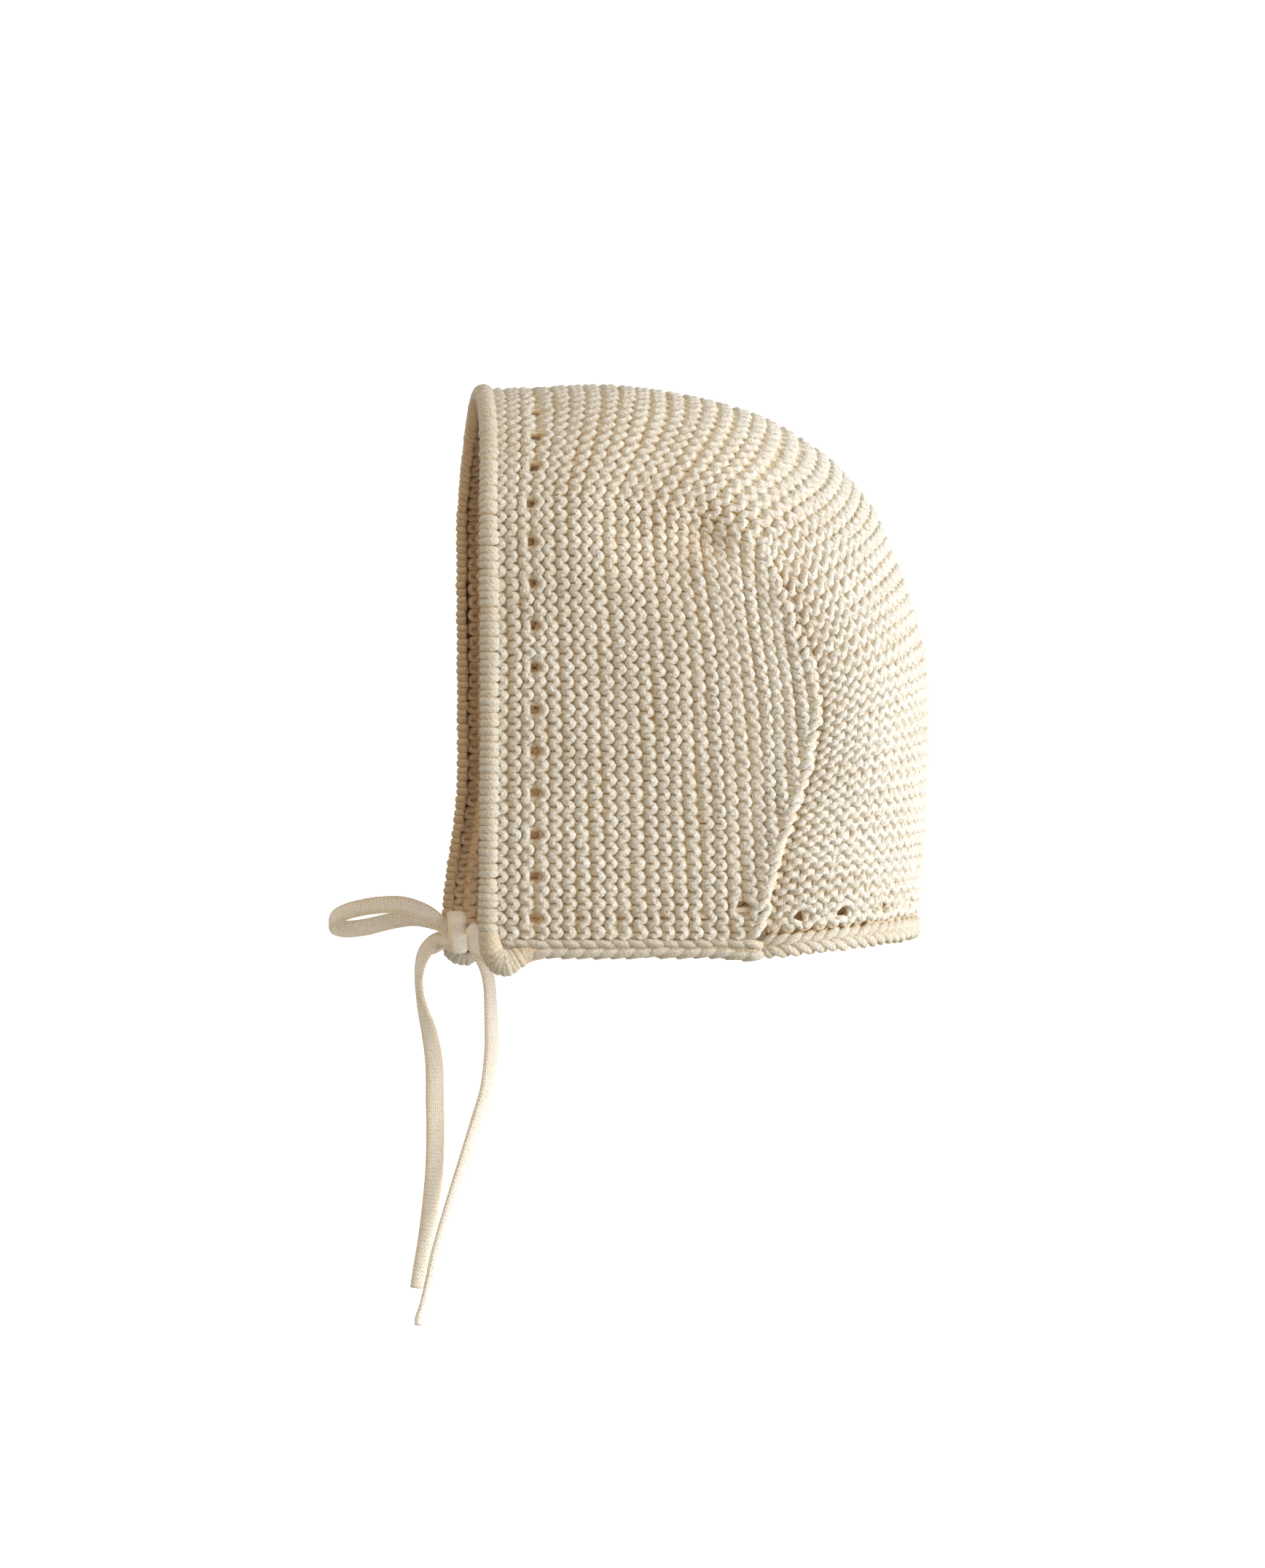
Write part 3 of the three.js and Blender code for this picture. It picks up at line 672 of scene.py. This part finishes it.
# Ties: two soft knitted tapes. Each row gives a place on the tape's middle, the way its face looks,
# and its width and thickness there.
PLACE = slice(0, 3)
FACING = slice(3, 6)
WIDTH = 6
THICKNESS = 7
NEAR_TIE = np.array([
    (43.0, -30.6, -152.8, 0.24, -0.45, 0.86, 4.2, 1.8),
    (34.0, -31.9, -151.8, 0.24, -0.45, 0.86, 4.4, 1.8),
    (22.0, -32.8, -149.8, 0.24, -0.45, 0.86, 4.4, 1.8),
    (12.0, -32.9, -147.4, 0.24, -0.45, 0.86, 4.2, 1.8),
    (5.0, -33.2, -145.8, 0.20, -0.40, 0.88, 4.0, 1.7),
    (-1.0, -34.6, -145.2, 0.10, -0.20, 0.95, 4.0, 1.6),
    (-4.6, -36.6, -145.0, -0.70, 0.10, 0.70, 4.4, 1.6),
    (-4.4, -37.2, -143.2, -0.85, 0.00, 0.50, 4.8, 1.6),
    (-1.6, -37.3, -141.9, -0.20, 0.00, 1.00, 5.0, 1.7),
    (2.4, -37.3, -142.3, 0.45, 0.00, 0.90, 5.2, 1.8),
    (4.6, -37.3, -144.6, 0.95, 0.00, 0.30, 5.2, 1.8),
    (5.0, -37.2, -147.4, 1.00, 0.00, 0.00, 5.2, 1.8),
    (4.2, -36.8, -150.0, 0.95, 0.00, -0.30, 4.6, 1.8),
    (2.0, -36.3, -151.7, 0.40, 0.00, -0.90, 4.0, 1.7),
    (-1.4, -36.8, -151.6, -0.40, 0.00, -0.90, 4.2, 1.6),
    (-3.2, -38.0, -150.4, -0.90, 0.10, -0.30, 4.6, 1.6),
    (-3.0, -39.8, -149.2, -0.95, 0.20, 0.00, 4.6, 1.6),
    (-2.0, -42.8, -149.4, -0.90, 0.30, -0.10, 4.6, 1.6),
    (-1.2, -45.6, -152.0, -0.80, 0.50, -0.20, 4.4, 1.7),
    (-1.2, -47.2, -156.4, -0.45, 0.85, -0.20, 4.4, 1.8),
    (-1.6, -47.4, -161.4, -0.20, 1.00, -0.10, 4.4, 1.9),
    (-2.0, -46.4, -167.6, -0.40, 0.90, -0.10, 4.6, 1.9),
    (-2.0, -44.6, -174.0, -0.80, 0.55, 0.00, 4.8, 1.8),
    (-2.0, -43.2, -182.8, -1.00, 0.15, 0.00, 4.9, 1.8),
    (-2.0, -43.0, -193.0, -1.00, 0.00, 0.00, 5.0, 1.8),
    (-2.0, -42.9, -203.0, -1.00, -0.05, 0.00, 5.0, 1.8),
    (-2.0, -43.2, -212.6, -1.00, 0.00, 0.00, 5.0, 1.8),
    (-2.0, -44.2, -222.3, -1.00, 0.05, 0.00, 4.8, 1.8),
    (-2.0, -45.6, -231.6, -1.00, 0.00, 0.00, 4.4, 1.8),
    (-2.0, -47.2, -240.0, -1.00, -0.05, 0.00, 4.0, 1.8),
    (-2.0, -47.9, -244.4, -1.00, 0.00, 0.00, 3.8, 1.7),
])
FAR_TIE = np.array([
    (-44.0, -40.4, -152.8, 0.00, -0.50, 0.85, 4.6, 1.8),
    (-30.0, -40.0, -152.0, 0.00, -0.50, 0.85, 4.6, 1.8),
    (-16.0, -38.9, -150.2, 0.00, -0.50, 0.85, 4.6, 1.8),
    (-6.2, -37.6, -148.0, 0.00, -0.40, 0.90, 4.4, 1.6),
    (-0.6, -37.2, -147.2, 0.40, -0.20, 0.90, 4.2, 1.5),
    (2.2, -38.8, -146.8, 0.95, 0.20, 0.30, 4.4, 1.5),
    (3.2, -41.6, -144.6, 0.92, 0.15, 0.35, 4.7, 1.7),
    (4.2, -46.0, -141.4, 0.92, 0.08, 0.35, 4.9, 1.8),
    (5.0, -51.6, -139.4, 0.93, 0.00, 0.35, 5.0, 1.8),
    (5.0, -57.0, -139.2, 0.93, -0.05, 0.35, 5.0, 1.8),
    (4.6, -62.4, -139.8, 0.90, -0.20, 0.35, 4.9, 1.8),
    (3.6, -67.2, -141.0, 0.80, -0.50, 0.30, 4.8, 1.8),
    (1.8, -70.4, -142.6, 0.40, -0.90, 0.15, 4.7, 1.8),
    (-0.6, -71.3, -144.4, -0.10, -1.00, 0.00, 4.7, 1.8),
    (-2.6, -69.8, -145.6, -0.70, -0.70, -0.10, 4.7, 1.8),
    (-3.5, -66.4, -146.0, -0.97, -0.15, -0.15, 4.7, 1.8),
    (-3.8, -61.4, -145.4, -1.00, 0.00, -0.20, 4.7, 1.8),
    (-3.8, -55.0, -143.9, -1.00, 0.05, -0.20, 4.5, 1.8),
    (-3.2, -48.4, -143.2, -1.00, 0.05, -0.25, 4.2, 1.7),
    (-2.0, -42.0, -144.6, -0.95, -0.20, -0.20, 4.0, 1.6),
    (-1.0, -38.6, -146.4, -0.60, -0.60, -0.50, 4.0, 1.5),
    (0.6, -35.8, -147.6, -0.70, -0.50, -0.30, 4.0, 1.5),
    (1.6, -33.2, -149.6, -0.90, -0.20, 0.10, 4.0, 1.6),
    (2.0, -31.0, -152.8, -0.95, 0.10, 0.10, 3.9, 1.7),
    (2.2, -29.2, -156.8, -0.98, -0.20, 0.05, 3.8, 1.8),
    (2.3, -28.3, -161.6, -0.92, -0.40, 0.00, 3.7, 1.8),
    (2.4, -27.9, -170.0, -0.92, -0.40, 0.00, 4.0, 1.8),
    (2.4, -27.8, -178.6, -0.92, -0.40, 0.00, 4.1, 1.8),
    (2.6, -29.1, -189.4, -0.92, -0.40, 0.00, 3.9, 1.8),
    (2.6, -31.2, -196.4, -0.92, -0.40, 0.00, 3.7, 1.8),
    (2.8, -35.0, -208.4, -0.92, -0.40, 0.00, 3.5, 1.8),
    (3.0, -38.8, -220.4, -0.92, -0.40, 0.00, 3.3, 1.8),
    (3.0, -42.9, -234.0, -0.92, -0.40, 0.00, 2.9, 1.8),
    (3.0, -45.2, -243.6, -0.92, -0.40, 0.00, 2.4, 1.7),
    (3.0, -46.6, -249.0, -0.92, -0.40, 0.00, 2.2, 1.7),
    (3.0, -47.3, -252.0, -0.92, -0.40, 0.00, 3.0, 2.0),
    (3.0, -47.7, -254.2, -0.92, -0.40, 0.00, 2.4, 1.6),
])
TAPE_STEP = 0.8
TAPE_SIDES = 16
TAPE_WIDTH = 5.0
TAPE_ROUND = (0.75, 0.85)  # below 1, the section fills out from an oval towards a rounded strip


# Stations at an even step along a tape
def along_route(route, step):
    gone = gone_along(route[:, PLACE])
    t = np.linspace(0, gone[-1], int(gone[-1] / step) + 1)
    return np.stack([smooth_through(gone, column, t) for column in route.T], axis=1)


# The place, turn and size of the tape's section at each station
def tape_frames(stations):
    ahead = unit(np.gradient(stations[:, PLACE], axis=0))
    facing = stations[:, FACING]
    face = unit(facing - ahead * np.einsum("ij,ij->i", facing, ahead)[:, None])
    across = np.cross(face, ahead)
    frames = []
    for k, station in enumerate(stations):
        axes = (across[k] * station[WIDTH] / 2, face[k] * station[THICKNESS] / 2, ahead[k])
        turned = Matrix(axes).transposed()
        frames.append(Matrix.Translation(Vector(station[PLACE])) @ turned.to_4x4())
    return frames


# A flat section with rounded edges, drawn along the tape
def tape_piece(name, route, material):
    stations = along_route(route, TAPE_STEP)
    frames = tape_frames(stations)
    shape = bmesh.new()
    bmesh.ops.create_circle(shape, cap_ends=True, segments=TAPE_SIDES, radius=1)
    for vertex in shape.verts:
        across, up = vertex.co.x, vertex.co.y
        vertex.co.x = math.copysign(abs(across) ** TAPE_ROUND[0], across)
        vertex.co.y = math.copysign(abs(up) ** TAPE_ROUND[1], up)
    bmesh.ops.transform(shape, matrix=frames[0], verts=shape.verts)
    edges = shape.edges[:]
    for before, after in zip(frames, frames[1:]):
        grown = bmesh.ops.extrude_edge_only(shape, edges=edges)["geom"]
        moved = [part for part in grown if isinstance(part, bmesh.types.BMVert)]
        edges = [part for part in grown if isinstance(part, bmesh.types.BMEdge)]
        edges = [edge for edge in edges if all(vertex in moved for vertex in edge.verts)]
        bmesh.ops.transform(shape, matrix=after @ before.inverted(), verts=moved)
    bmesh.ops.contextual_create(shape, geom=edges)
    bmesh.ops.recalc_face_normals(shape, faces=shape.faces)
    along = shape.verts.layers.float.new("along")
    across = shape.verts.layers.float.new("across")
    shape.verts.ensure_lookup_table()
    for k, vertex in enumerate(shape.verts):
        station = k // TAPE_SIDES
        inside = frames[station].inverted() @ vertex.co
        vertex[along] = station * TAPE_STEP
        vertex[across] = inside.x * stations[station][WIDTH] / 2
    bmesh.ops.scale(shape, verts=shape.verts, vec=(MM, MM, MM))
    mesh = bpy.data.meshes.new(name)
    shape.to_mesh(mesh)
    shape.free()
    mesh.shade_smooth()
    mesh.materials.append(material)
    piece = bpy.data.objects.new(name, mesh)
    bpy.context.collection.objects.link(piece)
    return piece, stations[:, PLACE] * MM


# Wool
def attribute(nodes, name):
    node = nodes.new("ShaderNodeAttribute")
    node.attribute_name = name
    return node.outputs["Fac"]


def calculate(nodes, links, kind, *values):
    node = nodes.new("ShaderNodeMath")
    node.operation = kind
    for socket, value in zip(node.inputs, values):
        if isinstance(value, (int, float)):
            socket.default_value = value
        else:
            links.new(value, socket)
    return node.outputs["Value"]


def noise(nodes, links, scale, detail):
    place = nodes.new("ShaderNodeTexCoord")
    texture = nodes.new("ShaderNodeTexNoise")
    texture.inputs["Scale"].default_value = scale
    texture.inputs["Detail"].default_value = detail
    links.new(place.outputs["Object"], texture.inputs["Vector"])
    return texture.outputs["Fac"]


def ramp(nodes, links, value, stops):
    node = nodes.new("ShaderNodeValToRGB")
    while len(node.color_ramp.elements) < len(stops):
        node.color_ramp.elements.new(0.5)
    for element, (place, colour) in zip(node.color_ramp.elements, stops):
        element.position = place
        element.color = (*colour, 1)
    links.new(value, node.inputs["Fac"])
    return node.outputs["Color"]


def multiplied(nodes, links, colour, tint):
    node = nodes.new("ShaderNodeMix")
    node.data_type = "RGBA"
    node.blend_type = "MULTIPLY"
    node.inputs["Factor"].default_value = 1
    links.new(colour, node.inputs["A"])
    links.new(tint, node.inputs["B"])
    return node.outputs["Result"]


def wool_shader(name):
    material = bpy.data.materials.new(name)
    material.use_nodes = True
    shader = material.node_tree.nodes["Principled BSDF"]
    shader.inputs["Roughness"].default_value = 0.95
    shader.inputs["Sheen Weight"].default_value = 0.25
    shader.inputs["Sheen Roughness"].default_value = 0.6
    shader.inputs["Specular IOR Level"].default_value = 0.15
    return material, material.node_tree.nodes, material.node_tree.links, shader


def bumped(nodes, links, shader, height, distance):
    bump = nodes.new("ShaderNodeBump")
    bump.inputs["Strength"].default_value = 1
    bump.inputs["Distance"].default_value = distance * MM
    links.new(height, bump.inputs["Height"])
    links.new(bump.outputs["Normal"], shader.inputs["Normal"])


# Streaks of fibre that wind along the yarn
FIBRE_TWIST = 0.16  # turns of the yarn in a millimetre
FIBRES_ALONG = 0.7  # streaks in a millimetre
FIBRES_AROUND = 9
PATCH_SCALE = 70
FLUFF_SCALE = 1500
FLUFF_RISE = 1.2  # the fluff's share of the relief, beside the fibres
YARN_RELIEF = 0.25


def yarn_fibres(nodes, links):
    along = attribute(nodes, "along")
    wound = calculate(nodes, links, "MULTIPLY_ADD", along, FIBRE_TWIST, attribute(nodes, "around"))
    place = nodes.new("ShaderNodeCombineXYZ")
    links.new(calculate(nodes, links, "MULTIPLY", along, FIBRES_ALONG), place.inputs["X"])
    links.new(calculate(nodes, links, "MULTIPLY", wound, FIBRES_AROUND), place.inputs["Y"])
    texture = nodes.new("ShaderNodeTexNoise")
    texture.inputs["Scale"].default_value = 1
    texture.inputs["Detail"].default_value = 3
    links.new(place.outputs["Vector"], texture.inputs["Vector"])
    return texture.outputs["Fac"]


def yarn_wool(name, shade):
    material, nodes, links, shader = wool_shader(name)
    # Painted shade: by its height the yarn is coloured brown inside the bonnet, tan in its creases and cream
    # at the tops of the stitches
    depth = ramp(nodes, links, attribute(nodes, "proud"), (
        (0, (0.76, 0.56, 0.35)),
        (0.2, (0.83, 0.61, 0.36)),
        (0.45, (0.87, 0.75, 0.55)),
        (0.7, (0.87, 0.81, 0.69)),
        (1, (0.87, 0.845, 0.785)),
    ))
    # shade scales the whole colour; the edges' copy is darkened by it as painted shade
    darker = tuple(shade * part for part in (0.93, 0.91, 0.88))
    full = (shade, shade, shade)
    patches = ramp(nodes, links, noise(nodes, links, PATCH_SCALE, 4), ((0.3, darker), (0.7, full)))
    fibres = yarn_fibres(nodes, links)
    specks = ramp(nodes, links, fibres, ((0.35, (0.88, 0.85, 0.80)), (0.65, (1, 1, 1))))
    fluff = noise(nodes, links, FLUFF_SCALE, 4)
    mottle = ramp(nodes, links, fluff, ((0.35, (0.86, 0.81, 0.73)), (0.6, (1, 1, 1))))
    colour = multiplied(nodes, links, multiplied(nodes, links, depth, patches), specks)
    links.new(multiplied(nodes, links, colour, mottle), shader.inputs["Base Color"])
    relief = calculate(nodes, links, "MULTIPLY_ADD", fluff, FLUFF_RISE, fibres)
    bumped(nodes, links, shader, relief, YARN_RELIEF)
    return material


# Fine knit of the tapes: columns of small V stitches along them, with painted shade in their grooves and
# along the tape's edges
TAPE_STITCH = 1.05
TAPE_SLANT = 0.9  # how far the legs of a V run on, in stitches
TAPE_ROW_RISE = 0.22
TAPE_COLUMN_RISE = 0.3
TAPE_FUZZ_SCALE = 1000
TAPE_FUZZ_RISE = 0.9
TAPE_PATCH_SCALE = 90
TAPE_RELIEF = 0.22


def tape_wool(name):
    material, nodes, links, shader = wool_shader(name)
    column = calculate(nodes, links, "DIVIDE", attribute(nodes, "across"), TAPE_STITCH)
    column = calculate(nodes, links, "PINGPONG", column, 0.5)
    row = calculate(nodes, links, "DIVIDE", attribute(nodes, "along"), TAPE_STITCH)
    row = calculate(nodes, links, "ADD", row, calculate(nodes, links, "MULTIPLY", column, TAPE_SLANT))
    stitch = calculate(nodes, links, "SINE", calculate(nodes, links, "MULTIPLY", row, 2 * math.pi))
    rise = calculate(nodes, links, "SINE", calculate(nodes, links, "MULTIPLY", column, 2 * math.pi))
    fibres = noise(nodes, links, TAPE_FUZZ_SCALE, 4)
    columns = calculate(nodes, links, "MULTIPLY", rise, TAPE_COLUMN_RISE)
    weave = calculate(nodes, links, "MULTIPLY_ADD", stitch, TAPE_ROW_RISE, columns)
    speckle = calculate(nodes, links, "MULTIPLY_ADD", fibres, TAPE_FUZZ_RISE, weave)
    # Painted shade: the grooves between the small stitches are coloured tan to brown, with random fibre
    # specks
    shaded_tone = ramp(nodes, links, speckle, (
        (0, (0.64, 0.46, 0.28)),
        (0.35, (0.94, 0.84, 0.67)),
        (0.75, (1, 0.96, 0.88)),
    ))
    # Painted shade: towards its edges the tape is coloured tan
    beside = calculate(nodes, links, "ABSOLUTE", attribute(nodes, "across"))
    edges = ramp(nodes, links, calculate(nodes, links, "DIVIDE", beside, TAPE_WIDTH / 2), (
        (0.4, (1, 1, 1)),
        (1, (0.9, 0.81, 0.67)),
    ))
    patches = ramp(nodes, links, noise(nodes, links, TAPE_PATCH_SCALE, 4), (
        (0.3, (0.93, 0.90, 0.85)),
        (0.7, (1, 1, 1)),
    ))
    shaded_tone = multiplied(nodes, links, shaded_tone, edges)
    links.new(multiplied(nodes, links, shaded_tone, patches), shader.inputs["Base Color"])
    bumped(nodes, links, shader, speckle, TAPE_RELIEF)
    return material


KNIT_WOOL = yarn_wool("knit_wool", 0.96)
# The hem, corners and neck edges take a darker copy of the wool, as painted shade
SHADED_EDGE_WOOL = yarn_wool("shaded_edge_wool", 0.84)
TIE_WOOL = tape_wool("tie_wool")
# Heights of the inside, the wall's own level and the top of an outer stitch, for the painted shade in the
# wool's colour
WALL_HEIGHTS = (-0.6, 0.05, 1.7)
HEM_HEIGHTS = (-1, 1.5, 3.3)
EDGE_HEIGHTS = (-0.6, 0.2, 2.1)
BAND_HEIGHTS = (-0.6, 0.5, 3)
CORNER_HEIGHTS = (-1, 1.5, 5.4)


def dress(piece, nodes):
    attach(piece, "root")
    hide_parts(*nodes)
    return piece


# The knitted pieces, in the order in which their stitches are drawn
rng = np.random.default_rng(SEED)
THIRD = HOOD_STITCHES // 3
BACK_SPLIT = 20
hood_pieces = (
    ("hood_right_side", 0, THIRD),
    ("hood_crown", THIRD, 2 * THIRD),
    ("hood_left_side", 2 * THIRD, HOOD_STITCHES),
)
for piece_name, first_stitch, past_stitch in hood_pieces:
    strands = hood_strands(first_stitch, past_stitch, rng)
    dress(yarn_piece(piece_name, strands, KNIT_WOOL, WALL_HEIGHTS), ["hood"])
back_pieces = (("back_upper", 0, BACK_SPLIT), ("back_lower", BACK_SPLIT, BACK_RIDGES))
for piece_name, first_ridge, past_ridge in back_pieces:
    strands = back_strands(first_ridge, past_ridge, rng)
    dress(yarn_piece(piece_name, strands, KNIT_WOOL, WALL_HEIGHTS), ["back_panel"])
for piece_name, side in (("seam_edge_left", 1), ("seam_edge_right", -1)):
    dress(yarn_piece(piece_name, seam_edge_strands(side, rng), KNIT_WOOL, EDGE_HEIGHTS), ["hood"])
hem_parts = (
    ("hem_roll", hem_strands(rng), HEM_HEIGHTS),
    ("hem_corner_left", corner_strands(1, NEAR_CORNER, rng), CORNER_HEIGHTS),
    ("hem_corner_right", corner_strands(-1, FAR_CORNER, rng), CORNER_HEIGHTS),
)
for piece_name, strands, heights in hem_parts:
    piece = yarn_piece(piece_name, strands, SHADED_EDGE_WOOL, heights, HEM_YARN_RADIUS, HEM_SIDES)
    dress(piece, ["front_hem"])
neck_edges = (
    ("neck_edge_left", side_band_strands(1, rng), "neck_band_left"),
    ("neck_edge_right", side_band_strands(-1, rng), "neck_band_right"),
    ("neck_edge_back", back_band_strands(rng), "neck_band_back"),
)
for piece_name, strands, node in neck_edges:
    piece = yarn_piece(piece_name, strands, SHADED_EDGE_WOOL, BAND_HEIGHTS, BAND_YARN_RADIUS, BAND_SIDES)
    dress(piece, [node])

# The ties; their routes are kept as lines of points
near_tie, near_path = tape_piece("near_tie", NEAR_TIE, TIE_WOOL)
far_tie, far_path = tape_piece("far_tie", FAR_TIE, TIE_WOOL)
dress(near_tie, ["tie_left_lead", "bow_knot", "tie_left_end"])
dress(far_tie, ["tie_right_lead", "bow_loop", "tie_right_end"])


# Camera, at the photograph's angle
CAMERA_AZIMUTH = 84.7
CAMERA_DISTANCE = 1700
CAMERA_AIM = (0, 11.2, -106.3)
FRAME_HEIGHT = 430.2
SENSOR = 36


def add_camera():
    turn = math.radians(CAMERA_AZIMUTH)
    away = Vector((math.sin(turn), -math.cos(turn), 0))
    lens = bpy.data.cameras.new("camera")
    lens.sensor_fit = "VERTICAL"
    lens.sensor_height = SENSOR
    lens.lens = SENSOR * CAMERA_DISTANCE / FRAME_HEIGHT
    lens.clip_end = 50
    camera = bpy.data.objects.new("camera", lens)
    camera.location = (Vector(CAMERA_AIM) + away * CAMERA_DISTANCE) * MM
    camera.rotation_euler = (-away).to_track_quat("-Z", "Y").to_euler()
    bpy.context.collection.objects.link(camera)
    bpy.context.scene.camera = camera


def add_light(name, place, aim, size, power, colour):
    lamp = bpy.data.lights.new(name, "AREA")
    lamp.shape = "DISK"
    lamp.size = size
    lamp.energy = power
    lamp.color = colour
    light = bpy.data.objects.new(name, lamp)
    light.location = place
    light.rotation_euler = (Vector(aim) - Vector(place)).to_track_quat("-Z", "Y").to_euler()
    bpy.context.collection.objects.link(light)


# A pale sweep: the floor, and a wall that rises from it behind the bonnet
FLOOR_Z = -1.4
FLOOR_FRONT = 2.5
WALL_X = -4.6
SWEEP_RADIUS = 0.3
SWEEP_HEIGHT = 1.2
SWEEP_HALF_WIDTH = 1.4


def add_floor():
    shape = bmesh.new()
    turns = [math.pi / 2 * k / 10 for k in range(11)]
    profile = [(FLOOR_FRONT, FLOOR_Z)]
    for turn in turns:
        x = WALL_X + SWEEP_RADIUS * (1 - math.sin(turn))
        profile.append((x, FLOOR_Z + SWEEP_RADIUS * (1 - math.cos(turn))))
    profile.append((WALL_X, SWEEP_HEIGHT))
    row = [shape.verts.new((x, -SWEEP_HALF_WIDTH, z)) for x, z in profile]
    edges = [shape.edges.new(pair) for pair in zip(row, row[1:])]
    grown = bmesh.ops.extrude_edge_only(shape, edges=edges)["geom"]
    moved = [part for part in grown if isinstance(part, bmesh.types.BMVert)]
    bmesh.ops.translate(shape, verts=moved, vec=(0, 2 * SWEEP_HALF_WIDTH, 0))
    mesh = bpy.data.meshes.new("floor")
    shape.to_mesh(mesh)
    shape.free()
    mesh.shade_smooth()
    floor = bpy.data.objects.new("floor", mesh)
    bpy.context.collection.objects.link(floor)
    pale = bpy.data.materials.new("pale_floor")
    pale.use_nodes = True
    paint = pale.node_tree.nodes["Principled BSDF"]
    paint.inputs["Base Color"].default_value = (0.9, 0.9, 0.9, 1)
    paint.inputs["Roughness"].default_value = 0.95
    paint.inputs["Emission Color"].default_value = (1, 1, 1, 1)
    place = pale.node_tree.nodes.new("ShaderNodeTexCoord")
    parts = pale.node_tree.nodes.new("ShaderNodeSeparateXYZ")
    pale.node_tree.links.new(place.outputs["Object"], parts.inputs["Vector"])
    lift = calculate(pale.node_tree.nodes, pale.node_tree.links, "MULTIPLY_ADD", parts.outputs["X"],
                     -1 / SWEEP_RADIUS, (WALL_X + SWEEP_RADIUS) / SWEEP_RADIUS)
    glow = calculate(pale.node_tree.nodes, pale.node_tree.links, "MAXIMUM", lift, 0)
    pale.node_tree.links.new(glow, paint.inputs["Emission Strength"])
    mesh.materials.append(pale)


def add_world(strength):
    world = bpy.data.worlds.new("studio")
    world.use_nodes = True
    world.node_tree.nodes["Background"].inputs["Color"].default_value = (1, 0.93, 0.83, 1)
    world.node_tree.nodes["Background"].inputs["Strength"].default_value = strength
    bpy.context.scene.world = world


add_camera()
add_floor()
add_world(0.2)
MIDDLE = (0, 0.02, -0.08)
add_light("key", (0.66, 1.6, 0.12), MIDDLE, 1.6, 54, (0.95, 0.97, 1))
add_light("top", (0.5, -0.8, 1.25), MIDDLE, 1.4, 9, (1, 0.97, 0.92))
add_light("fill", (1.4, -1.2, 0.25), MIDDLE, 1.6, 8.3, (1, 0.86, 0.68))
bpy.context.scene.view_settings.view_transform = "Standard"
